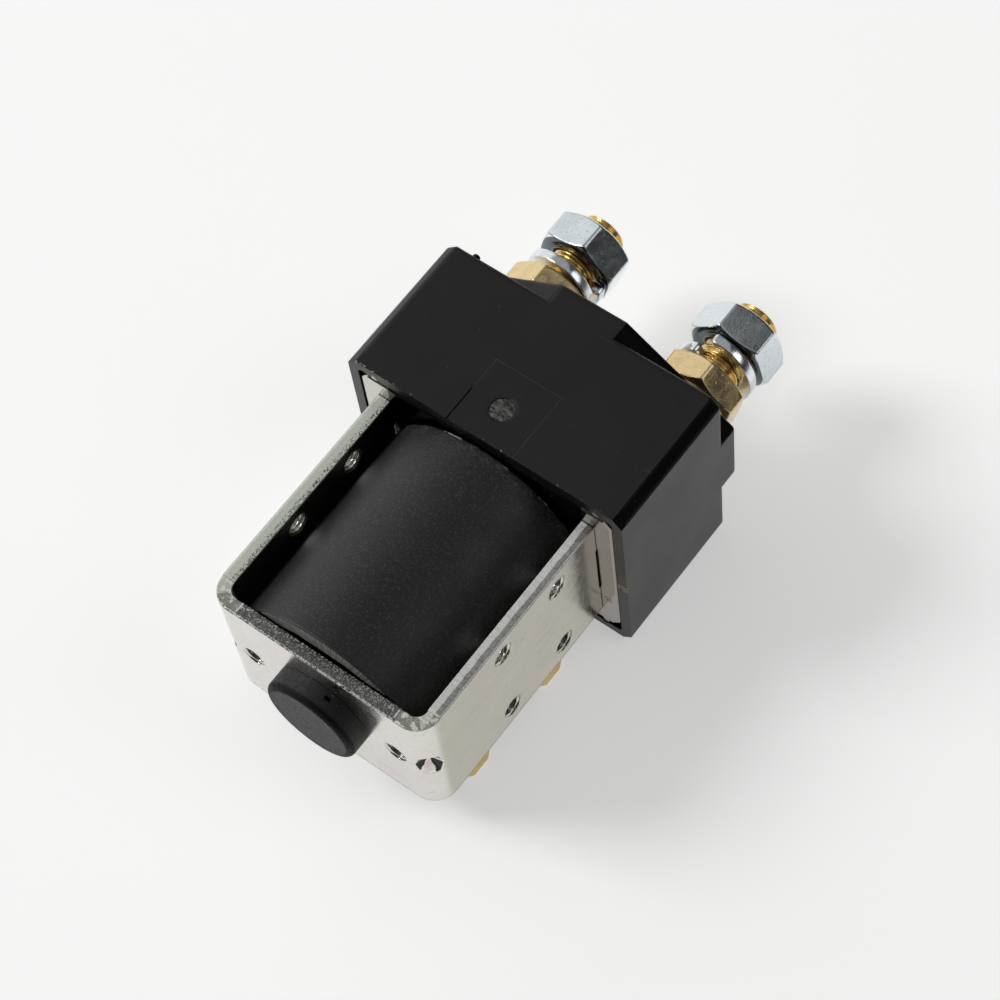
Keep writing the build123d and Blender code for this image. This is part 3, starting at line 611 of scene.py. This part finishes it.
# Machined metal: clouds of tarnish, dark specks, fine scratches, and turning rings where a centre is given.
def makeTurned(name, colour, dark, roughness, metallic=1.0, patches=0.6, speck=0.12, scale=260.0,
               ringCentre=None, glints=0.0, shade=None):
    m = Surface(name, metallic=metallic)
    edge = m.roundEdges(0.00038 if glints else 0.00018)
    cloud = m.mottled(scale, 3.0)
    fine = m.mottled(1600.0, 2.6)
    pits = m.specked(1500.0, 0.2, speck)
    lines = m.scratched(900.0, 0.45)
    m.colour = blendColour(cloud * patches, colour, dark)
    m.lay(ramp(fine, 0.65, 0.95) * 0.3, scaled(dark, 0.4))
    m.lay(pits * 0.5, scaled(dark, 0.35))
    m.lay(larger(lines, edge) * 0.6, scaled(colour, 1.25))
    if glints:  # painted highlights: worn edges and dented specks are painted pale as glints, which show on dark faces
        dentGlints = larger(m.specked(1300.0, 0.3, 0.45),
                       ramp(m.mottled(420.0, 4.0), 0.8, 0.98, 0.0, 0.4))
        pale = larger((edge * 1.6).held(), dentGlints * (glints * 0.45))
        m.lay(pale, scaled(colour, 1.2))
        m.put("Metallic", 1.0 - pale * 0.6)
        m.bump(dentGlints, 0.000008 * glints)
    if shade:  # dark band between two stations
        band = within(m.y - mouthY, *span(shade), 0.05 * mm)
        m.lay(band * 0.9, scaled(dark, 0.1))
    height = fine
    if ringCentre is not None:
        radius = hypotenuse(abs(m.x) - ringCentre * mm, m.z - axisZ)
        height = fine + noiseAlong(radius * 9000.0, 2.0)
    m.bump(height, 0.000004)
    m.bump((lines + pits) * -1.0, 0.000005 if glints else 0.000015)
    return m.finish(ramp(cloud, 0.1, 0.9, roughness - 0.04, roughness + 0.06))


# Wound wire: ridges along Y at the wire's pitch, with a lacquer coat.
def makeWound(name, colour, pitch):
    m = Surface(name, metallic=0.6, coat=0.5)
    ridges = calc("SINE", m.y * (2 * math.pi / pitch))
    cloud = m.mottled(150.0, 2.0)
    m.bump(ridges, pitch * 0.25)
    m.colour = blendColour(cloud, colour, scaled(colour, 0.7))
    return m.finish(ramp(cloud, 0.2, 0.8, 0.28, 0.4))


studX = 18.2  # from the middle to either stud's axis
finishes = {
    "contact_housing": makeHousing(),
    "end_cap": makeCap(),
    "coil_bobbin": makeFlange(),
    "terminal_strip": makePlastic("stripPlastic", (0.016, 0.016, 0.017), 0.45),
    "bridge_bush": makePlastic("bushPlastic", (0.16, 0.06, 0.03), 0.4),
    "coil_tape": makeTape(),
    "coil_winding": makeWound("enamelledWire", (0.62, 0.25, 0.10), 0.5 * mm),
    "magnet_frame": makeZinc("frameZinc", cutEdge=True),
    "top_plate": makeZinc("plateZinc", (0.80, 0.77, 0.77), (0.05, 1.0, 1.0), shaded=True),
    "spring_seat": makeZinc("seatZinc"),
    "bush_washer": makeZinc("washerZinc"),
    "rod_nut": makeZinc("rodNutZinc"),
    "terminal_nut": makeTurned("nutZinc", (0.75, 0.81, 0.84), (0.68, 0.75, 0.76), 0.15, patches=0.35,
                               speck=0.02, scale=300.0, ringCentre=studX, glints=0.8, shade=(50.3, 50.95)),
    "lock_washer": makeTurned("springWasherZinc", (0.84, 0.88, 0.92), (0.70, 0.75, 0.78), 0.18, patches=0.3,
                              speck=0.02, scale=420.0, glints=0.4),
    "collar_nut": makeTurned("collarBrass", (0.83, 0.64, 0.35), (0.74, 0.55, 0.28), 0.2, patches=0.3,
                             speck=0.02, scale=300.0, ringCentre=studX, glints=0.9),
    "stud": makeTurned("studBrass", (0.90, 0.66, 0.28), (0.80, 0.54, 0.19), 0.22, patches=0.3, speck=0.02,
                       scale=500.0),
    "coil_blade": makeTurned("bladeBrass", (0.80, 0.60, 0.28), (0.55, 0.40, 0.18), 0.32, patches=0.5,
                             speck=0.08),
    "guide_tube": makeTurned("tubeBrass", (0.80, 0.60, 0.30), (0.55, 0.40, 0.20), 0.30),
    "fixed_core": makeTurned("coreSteel", (0.60, 0.60, 0.59), (0.40, 0.40, 0.39), 0.32),
    "plunger": makeTurned("plungerSteel", (0.60, 0.60, 0.59), (0.42, 0.42, 0.41), 0.28),
    "push_rod": makeTurned("rodSteel", (0.66, 0.66, 0.65), (0.46, 0.46, 0.45), 0.22),
    "return_spring": makeTurned("springSteel", (0.50, 0.50, 0.50), (0.28, 0.28, 0.27), 0.34),
    "seat_ring": makeTurned("ringSteel", (0.12, 0.12, 0.12), (0.05, 0.05, 0.05), 0.45, metallic=0.8),
    "contact_bridge": makeTurned("bridgeCopper", (0.80, 0.42, 0.26), (0.45, 0.22, 0.13), 0.32),
    "fixed_contact": makeTurned("contactSilver", (0.82, 0.81, 0.78), (0.50, 0.49, 0.46), 0.30),
    "cover_pin": makeTurned("pinSteel", (0.52, 0.52, 0.51), (0.30, 0.30, 0.29), 0.35),
}
finishes["contact_spring"] = finishes["return_spring"]
finishes["moving_contact"] = finishes["fixed_contact"]

for name, piece in cad.items():
    for holder in piece.material_slots:
        found = holder.material.name if holder.material else ""
        if found in finishes:
            holder.material = finishes[found]
        else:
            print("no finish for", name, found)
print("CAD nodes dressed")


# Surfaces on a grid

def addObject(name, data):
    thing = bpy.data.objects.new(name, data)
    bpy.context.scene.collection.objects.link(thing)
    return thing


def aroundOnce(count):  # angles round a full turn
    return np.linspace(0, 2 * np.pi, count, endpoint=False)


# Quads between neighbouring points of a (rows, around, 3) array of millimetres in the frame, joined
# round the last axis, and round the rows too or capped with a middle point at either end. The
# quads are turned outwards by the sign of the volume they enclose.
def gridPiece(name, points, slotName, replaced=None, closeAlong=False, caps=(False, False), body="switch"):
    flip = volumeSign(points, closeAlong) < 0
    rows, around, _ = points.shape
    vertices = points.reshape(-1, 3) * mm
    rowCount = rows if closeAlong else rows - 1
    r, c = np.meshgrid(np.arange(rowCount), np.arange(around), indexing="ij")
    nextR, nextC = (r + 1) % rows, (c + 1) % around
    corners = (r * around + c, r * around + nextC, nextR * around + nextC, nextR * around + c)
    quads = np.stack(corners, -1).reshape(-1, 4)
    if flip:
        quads = quads[:, ::-1]
    loops, starts = [quads.ravel()], [np.arange(len(quads)) * 4]
    used = quads.size
    for atEnd, wanted in enumerate(caps):
        if not wanted:
            continue
        ring = (rows - 1) * around * atEnd + np.arange(around)
        vertices = np.vstack([vertices, vertices[ring].mean(0)])
        middle = np.full(around, len(vertices) - 1)
        fan = np.stack([ring, np.roll(ring, -1), middle], -1)
        if bool(atEnd) == flip:
            fan = fan[:, ::-1]
        loops.append(fan.ravel())
        starts.append(used + np.arange(around) * 3)
        used += fan.size
    loops, starts = np.concatenate(loops), np.concatenate(starts)
    mesh = bpy.data.meshes.new(name)
    mesh.vertices.add(len(vertices))
    mesh.vertices.foreach_set("co", vertices.ravel())
    mesh.loops.add(len(loops))
    mesh.loops.foreach_set("vertex_index", loops)
    mesh.polygons.add(len(starts))
    mesh.polygons.foreach_set("loop_start", starts)
    mesh.polygons.foreach_set("use_smooth", np.ones(len(starts), bool))
    mesh.update(calc_edges=True)
    mesh.validate()
    mesh.materials.append(finishes[slotName])
    piece = addObject(name, mesh)
    if body:
        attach(piece, body)
    if replaced:
        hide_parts(replaced)
    return piece


# Positive where the grid's quads face outwards: sum over cells of a corner's place times the
# cross product of the cell's two sides.
def volumeSign(points, closeAlong=False):
    nextC = np.roll(points, -1, 1)
    if closeAlong:
        a, b, c = points, nextC, np.roll(points, -1, 0)
    else:
        a, b, c = points[:-1], nextC[:-1], points[1:]
    return float((np.cross(b - a, c - a) * (a - points.mean((0, 1)))).sum())


# Points at a radius and an angle round the line along Y at x, at stations from the mouth, in millimetres.
def aroundY(radius, station, angle, x=0.0):
    radius, station, angle = np.broadcast_arrays(radius, station, angle)
    u, v = radius * np.cos(angle), radius * np.sin(angle)
    return np.stack([x + u, mouthY / mm + station, axisZ / mm + v], -1)


# Distance from the middle to a hexagon's side: half its width over the cosine from the nearest flat.
def hexRadius(angle, across, turn):
    fromFlat = (angle - np.radians(turn)) % (np.pi / 3) - np.pi / 6
    return across / 2 / np.cos(fromFlat)


# The smaller of two lengths, with the crease between them rounded over about k.
def softMin(a, b, k):
    h = np.clip(0.5 + 0.5 * (b - a) / k, 0, 1)
    return b * (1 - h) + a * h - k * h * (1 - h)


# Studs: hexagon head inside, plain shank through the moulding, rolled thread to the tip
stud = {
    "major": 5.0, "minor": 4.15, "pitch": 1.5, "headStart": 24.0, "headEnd": 27.5, "headAcross": 12.8,
    "headChamfer": 0.2, "threadStart": 36.0, "fadeIn": 2.0, "tip": 61.0, "tipChamfer": 0.55,
    "around": 72, "stepsPerTurn": 12,
}


# Rounded thread: a wave of the distance along minus the turn, clipped flat at its root.
def threadRadius(angle, along, major, minor, pitch):
    phase = (along / pitch - angle / (2 * np.pi)) % 1.0
    wave = 1 - np.abs(phase * 2 - 1)
    shape = np.clip(0.5 - 0.62 * np.cos(np.pi * wave), 0, 1)
    return minor + (major - minor) * shape


# Radius along the stud: the head's hexagon, the shank's circle, then the thread's wave, which fades in
# and is cut by a cone at the tip.
def makeStud(side, sign):
    s = stud
    angle = aroundOnce(s["around"])
    threadRows = np.arange(s["threadStart"], s["tip"], s["pitch"] / s["stepsPerTurn"])
    headRows = [s["headStart"], s["headStart"], s["headStart"] + s["headChamfer"], s["headEnd"], s["headEnd"]]
    shankRows = [s["headEnd"] + 0.4, s["threadStart"] - 0.3]
    along = np.concatenate([headRows, shankRows, threadRows, [s["tip"], s["tip"]]])
    station, turn = np.meshgrid(along, angle, indexing="ij")
    radius = threadRadius(turn, station, s["major"], s["minor"], s["pitch"])
    fadeIn = np.clip((station - s["threadStart"]) / s["fadeIn"], 0, 1)
    radius = s["major"] * (1 - fadeIn) + radius * fadeIn
    radius = np.minimum(radius, s["major"] - s["tipChamfer"] + (s["tip"] - station))
    hexagon = hexRadius(turn, s["headAcross"], 0)
    # the first rows are the head's face, chamfer and side, and the shank under it
    radius[0], radius[1] = hexagon[0] * 0.5, hexagon[1] - s["headChamfer"]
    radius[2:4], radius[4:7] = hexagon[2:4], s["major"]
    radius[-2] = s["major"] - s["tipChamfer"]
    radius[-1] = (s["major"] - s["tipChamfer"]) * 0.5
    points = aroundY(radius, station, turn, sign * studX)
    gridPiece(f"threaded_stud_{side}", points, "stud", f"stud_{side}", caps=(True, True))


# Nuts: where a hexagon bar and a turned cone meet, with a bore through
hexagonNut = {"across": 16.0, "share": 0.94, "angle": 30.0, "bore": 5.05, "lip": 0.06, "crease": 0.25,
              "around": 216}
nut = {**hexagonNut, "start": 50.5, "length": 7.7, "sink": 5.75, "turns": {"left": 13.8, "right": 43.3},
       "round": 0.22}
collar = {**hexagonNut, "start": 38.8, "length": 6.0, "sink": 5.35, "turns": {"left": 35.5, "right": 18.0},
          "round": 0.25, "shoulderStart": 35.2, "shoulderRadius": 7.4}


# Rows of (station, radius) from one face over the side, the other face and the bore. On the side the
# radius is the smaller of the hexagon's and the cone's, less a quarter circle at either end.
def makeNut(name, kind, s, side, sign):
    angle = aroundOnce(s["around"])
    start, end = s["start"], s["start"] + s["length"]
    faceRadius = s["across"] / 2 * s["share"]
    ease = (1 - np.cos(np.linspace(0, np.pi, 41))) / 2  # rows crowd at both ends, where the cone cuts
    lip, countersink = s["lip"], s["sink"] - s["bore"]
    rows = [(a, "outer") for a in start + (end - start) * ease]
    rows += [(end, faceRadius - 0.5), (end, s["sink"] + 0.1), (end - lip, s["sink"] - lip),
             (end - countersink, s["bore"])]
    low = s.get("shoulderStart", start)
    rows += [(low + countersink, s["bore"]), (low + lip, s["sink"] - lip), (low, s["sink"] + 0.1)]
    if low < start:
        r = s["shoulderRadius"]
        rows += [(low, r - 0.2), (low + lip, r - lip), (low + 0.2, r), (start - 0.15, r), (start, r - 0.05)]
    else:
        rows += [(low, faceRadius - 0.5)]
    radius = np.zeros((len(rows), s["around"]))
    along = np.array([a for a, _ in rows])
    slope = math.tan(math.radians(s["angle"]))
    bar = hexRadius(angle, s["across"], s["turns"][side])
    for row, (a, place) in enumerate(rows):
        if place == "outer":
            fromEnd = min(a - start, end - a)
            cone = faceRadius + fromEnd / slope
            drop = s["round"] * (1 - math.sqrt(max(0.0, 1 - (1 - min(fromEnd / s["round"], 1.0)) ** 2)))
            radius[row] = softMin(bar, np.full_like(bar, cone), s["crease"]) - drop
        else:
            radius[row] = place
    points = aroundY(radius, along[:, None], angle[None, :], sign * studX)
    gridPiece(f"{name}_{side}", points, kind, f"{kind}_{side}", closeAlong=True)


# Spring washer: a rounded bar carried along one open left-hand turn
washer = {"outer": 8.0, "inner": 5.25, "thickness": 2.1, "corner": 0.28, "start": 44.8, "space": 5.7, "gap": 0.15,
          "opening": 14.0, "splits": {"left": 10.0, "right": 109.0}, "steps": 96, "sectionSteps": 5}


# Outline of a bar with round corners: a quarter circle of points at each corner in turn.
def roundedBar(width, height, corner, steps):
    quarter = np.linspace(0, np.pi / 2, steps)
    outline = []
    for number, (sx, sy) in enumerate(((1, 1), (-1, 1), (-1, -1), (1, -1))):
        turn = quarter + number * np.pi / 2
        outline.append(np.stack([sx * (width / 2 - corner) + corner * np.cos(turn),
                                 sy * (height / 2 - corner) + corner * np.sin(turn)], -1))
    return np.concatenate(outline)


def makeWasher(side, sign):
    s = washer
    section = roundedBar(s["outer"] - s["inner"], s["thickness"], s["corner"], s["sectionSteps"])
    share = np.linspace(0, 1, s["steps"])
    rise = s["space"] - s["thickness"] - 2 * s["gap"]
    split = math.radians(s["splits"][side])
    half = math.radians(s["opening"] / 2)
    # left-hand turn seen along +Y, from just after the split to just before it
    angle = split + half + share * (2 * np.pi - 2 * half)
    middle = s["start"] + s["gap"] + s["thickness"] / 2 + rise * share
    radius = (s["outer"] + s["inner"]) / 2 + section[None, :, 0]
    points = aroundY(radius, middle[:, None] + section[None, :, 1], angle[:, None], sign * studX)
    gridPiece(f"spring_washer_{side}", points, "lock_washer", f"lock_washer_{side}", caps=(True, True))


for side, sign in sides:
    makeStud(side, sign)
    makeNut("steel_nut", "terminal_nut", nut, side, sign)
    makeNut("brass_collar", "collar_nut", collar, side, sign)
    makeWasher(side, sign)
print("studs, nuts and washers made")


# Coil tape, a slightly lumpy sleeve with rolled, wrinkled ends: its radius falls from the coil's by a
# sum of slow waves, by a quarter circle at each end, and by wrinkles that grow towards the ends.
def makeTapeSleeve():
    s = coilTape
    low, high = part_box("coil_tape")
    start, end = (low.y - mouthY) / mm - s["lap"], (high.y - mouthY) / mm
    angle = aroundOnce(s["around"])
    share = (1 - np.cos(np.linspace(0, np.pi, s["along"]))) / 2
    station, turn = np.meshgrid(start + (end - start) * share, angle, indexing="ij")
    fromFar, fromNear = end - station, station - start
    slow = 0.5 + 0.25 * np.sin(3 * turn + 0.14 * station + 0.6) + 0.25 * np.sin(7 * turn - 0.31 * station + 2.0)
    wrinkles = 0.5 + 0.3 * np.sin(23 * turn + 1.3 * station) + 0.2 * np.sin(41 * turn - 0.7 * station + 1.0)
    drop = s["lump"] * slow
    for wrinkle, distance, reach in ((s["wrinkle"], fromFar, 1.3), (0.12, fromNear, 0.8)):
        drop = drop + wrinkle * wrinkles * np.exp(-distance / reach)
    for distance in (fromFar, fromNear):
        inside = np.clip(1 - distance / s["endRound"], 0, 1)
        drop = drop + s["endRound"] * (1 - np.sqrt(1 - inside ** 2)) * 0.9
    outer = aroundY(s["radius"] - drop, station, turn)
    inner = aroundY(s["radius"] - s["thickness"], np.array([[end - 0.02], [start + 0.02]]), angle[None, :])
    gridPiece("tape_sleeve", np.concatenate([outer, inner]), "coil_tape", "coil_tape", closeAlong=True)


makeTapeSleeve()


# The cap is a profile turned round the axis: hollow, spigot, foot, side, a quarter circle at the
# rim and a face that sinks a little in the middle. The notch lowers the radius in a small window.
def makeCapPiece():
    s = cap
    faceEnd = s["foot"] - s["length"]
    hollow = s["spigot"] - s["wall"]
    bend = np.linspace(0, np.pi / 2, 13)
    notchRows = [edge + step for edge in (s["notchEnd"], s["notchStart"]) for step in (0.02, -0.02)]
    side = np.array([-50.8, -51.2, *notchRows, -53.0])
    faceRadius = np.array([*(s["dishRadius"] + step for step in (0.35, 0.15, -0.15, -0.35)), 6.0, 3.0])
    sink = s["dishDepth"] * np.clip((s["dishRadius"] + 0.3 - faceRadius) / 0.6, 0, 1)
    start = np.array([(3.0, s["inner"]), (hollow, s["inner"]), (hollow, s["spigotEnd"]),
                      (s["spigot"], s["spigotEnd"]), (s["spigot"], s["foot"]),
                      (s["radius"] - 0.06, s["foot"]), (s["radius"], s["foot"] - 0.06)])
    radius = np.concatenate([start[:, 0], np.full(len(side), s["radius"]),
                             s["radius"] - s["edgeRound"] * (1 - np.cos(bend)), faceRadius])
    along = np.concatenate([start[:, 1], side, faceEnd + s["edgeRound"] * (1 - np.sin(bend)), faceEnd + sink])
    angle = aroundOnce(s["around"])
    inTurn = np.abs(np.degrees(angle) - s["notchTurn"]) < s["notchHalf"]
    inNotch = inTurn[None, :] & ((along < s["notchEnd"]) & (along > s["notchStart"]))[:, None]
    points = aroundY(radius[:, None] - s["notchDepth"] * inNotch, along[:, None], angle[None, :])
    gridPiece("matt_cap", points, "end_cap", "end_cap", caps=(True, True))


makeCapPiece()

# Threads cut in the frame's mounting holes
thread = {"major": 2.47, "minor": 2.1, "pitch": 0.8, "slack": 0.02, "inset": 0.03, "lead": 0.5, "around": 48,
          "stepsPerTurn": 10, "outerX": 24.8, "legCentres": {"left": -20.26, "right": -19.72},
          "pitchAlong": 16.1, "pitchUp": 22.4, "backY": -50.7, "backX": 16.6}


# A tube in the hole: straight outside, and inside a helical thread that opens towards both faces.
def makeThreadLiner(name, centre, direction):
    s, sheet = thread, zinc["sheet"]
    angle = aroundOnce(s["around"])
    along = np.linspace(s["inset"], sheet - s["inset"], int(sheet / s["pitch"] * s["stepsPerTurn"]))
    depth, turn = np.meshgrid(along, angle, indexing="ij")
    inner = threadRadius(turn, depth, s["major"] - s["slack"], s["minor"], s["pitch"])
    fromFace = np.minimum(depth, sheet - depth)
    inner = np.maximum(inner, s["major"] - s["slack"] - np.clip(fromFace, 0, s["lead"]))
    outer = np.full((2, s["around"]), s["major"] + s["slack"])
    radius = np.concatenate([inner, outer])
    w = np.concatenate([depth, depth[-1:], depth[:1]])
    u, v = radius * np.cos(angle), radius * np.sin(angle)
    if direction == "y":
        points = np.stack([centre[0] + u, centre[1] + w, centre[2] + v], -1)
    else:
        points = np.stack([centre[0] - direction * w, centre[1] + u, centre[2] + v], -1)
    gridPiece(name, points, "magnet_frame", closeAlong=True)


for side, sign in sides:
    for number, (dy, dz) in enumerate(((-1, -1), (-1, 1), (1, -1), (1, 1)), start=1):
        makeThreadLiner(f"leg_thread_{side}_{number}", (sign * thread["outerX"],
                        mouthY / mm + thread["legCentres"][side] + dy * thread["pitchAlong"] / 2,
                        axisZ / mm + dz * thread["pitchUp"] / 2), sign)
    centre = (sign * thread["backX"], mouthY / mm + thread["backY"], axisZ / mm)
    makeThreadLiner(f"end_thread_{side}", centre, "y")
print("tape and threads made")

# Springs: each stands between two bodies, and is wound once at the length of its part
springs = {
    "return_spring": {"wire": 0.9, "radius": 4.3, "turns": 6.5, "room": 0.85,
                      "still": "switch", "moving": "bridge"},
    "contact_spring": {"wire": 1.1, "radius": 4.6, "turns": 4.5, "room": 0.0,
                       "still": "bridge", "moving": "armature"},
}
springSteps = {"perTurn": 40, "section": 12}


# A circle of points carried along a helix: the angle grows evenly with the distance along the axis.
def makeSpring(node):
    s = springs[node]
    low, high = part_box(node)
    start = (low.y - mouthY) / mm + s["room"] + s["wire"] / 2
    end = (high.y - mouthY) / mm - s["wire"] / 2
    share = np.linspace(0, 1, int(s["turns"] * springSteps["perTurn"]))
    section = aroundOnce(springSteps["section"])
    radius = s["radius"] + s["wire"] / 2 * np.cos(section)[None, :]
    station = (start + (end - start) * share)[:, None] + s["wire"] / 2 * np.sin(section)[None, :]
    points = aroundY(radius, station, (2 * np.pi * s["turns"] * share)[:, None])
    piece = gridPiece(f"wound_{node}", points, node, node, caps=(True, True), body=None)
    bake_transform(piece)


for node in springs:
    makeSpring(node)
print("springs made")


# Floor, light and camera
studio = {
    "floorHalf": 6.0, "floorColour": (0.88, 0.88, 0.875), "floorGlow": 0.515,
    "world": (1.0, 1.0, 1.0), "worldStrength": 0.04,
}
lamps = {  # a size is a disc's, or a pair for a panel; a direction and a distance are from the object's middle
    "key": {"power": 57.0, "size": 1.45, "direction": (-0.7, -0.35, 0.65), "distance": 3.5},
    "leftPanel": {"power": 7.2, "size": (2.1, 1.35), "place": (-1.65, 0.375, 0.675)},
    "topPanel": {"power": 2.2, "size": (1.6, 1.6), "place": (-0.35, 0.3, 1.4)},
    "rightPanel": {"power": 1.2, "size": 0.6, "direction": (0.64, 0.30, 0.69), "distance": 1.1},
}


def makeFloor():
    mesh = bpy.data.meshes.new("floor")
    half = studio["floorHalf"]
    corners = [(-half, -half, 0), (half, -half, 0), (half, half, 0), (-half, half, 0)]
    mesh.from_pydata(corners, [], [(0, 1, 2, 3)])
    addObject("floor", mesh)
    material = bpy.data.materials.new("paleFloor")
    material.use_nodes = True
    tree = material.node_tree
    place = Field(addNode(tree, "ShaderNodeTexCoord"), "Object")
    paper = effect(mottle, place, Scale=6.0, Contrast=1.5)
    colour = blendColour(paper, studio["floorColour"], scaled(studio["floorColour"], 0.985))
    path = addNode(tree, "ShaderNodeLightPath")
    camera, glossy, through = (Field(path, f"Is {kind} Ray") for kind in ("Camera", "Glossy", "Transmission"))
    seen = (camera + glossy + through).held()  # the floor glows for what looks at it and lights nothing
    for label, value in (("Roughness", 0.7), ("Specular IOR Level", 0.1), ("Base Color", colour),
                         ("Emission Color", colour), ("Emission Strength", seen * studio["floorGlow"])):
        plug(tree.nodes["Principled BSDF"].inputs[label], value)
    mesh.materials.append(material)


def makeLamp(name):
    s = lamps[name]
    lamp = bpy.data.lights.new(name, "AREA")
    lamp.energy = s["power"]
    if isinstance(s["size"], tuple):
        lamp.shape = "RECTANGLE"
        lamp.size, lamp.size_y = s["size"]
    else:
        lamp.shape = "DISK"
        lamp.size = s["size"]
    target = Vector((0, 0, axisZ))
    place = Vector(s["place"]) if "place" in s else target + Vector(s["direction"]).normalized() * s["distance"]
    holder = addObject(name, lamp)
    holder.location = place
    holder.rotation_euler = (target - place).to_track_quat("-Z", "Y").to_euler()


makeFloor()
for name in lamps:
    makeLamp(name)

world = bpy.data.worlds.new("studio")
world.use_nodes = True
for label, value in (("Color", studio["world"]), ("Strength", studio["worldStrength"])):
    plug(world.node_tree.nodes["Background"].inputs[label], value)
bpy.context.scene.world = world
bpy.context.scene.view_settings.view_transform = "Standard"

view = {
    "place": (180.35, -174.91, 479.82), "lens": 99.79, "right": (0.79571, 0.60021, -0.08115),
    "up": (-0.49824, 0.72485, 0.47576), "back": (0.34438, -0.33814, 0.87582),
}
lensData = bpy.data.cameras.new("camera")
lensData.lens, lensData.sensor_width = view["lens"], 36
lensData.clip_start, lensData.clip_end = 0.01, 50
camera = addObject("camera", lensData)
turned = Matrix((view["right"], view["up"], view["back"])).transposed().to_4x4()
camera.matrix_world = Matrix.Translation(Vector(view["place"]) * mm + Vector((0, mouthY, 0))) @ turned
bpy.context.scene.camera = camera
print("studio made")
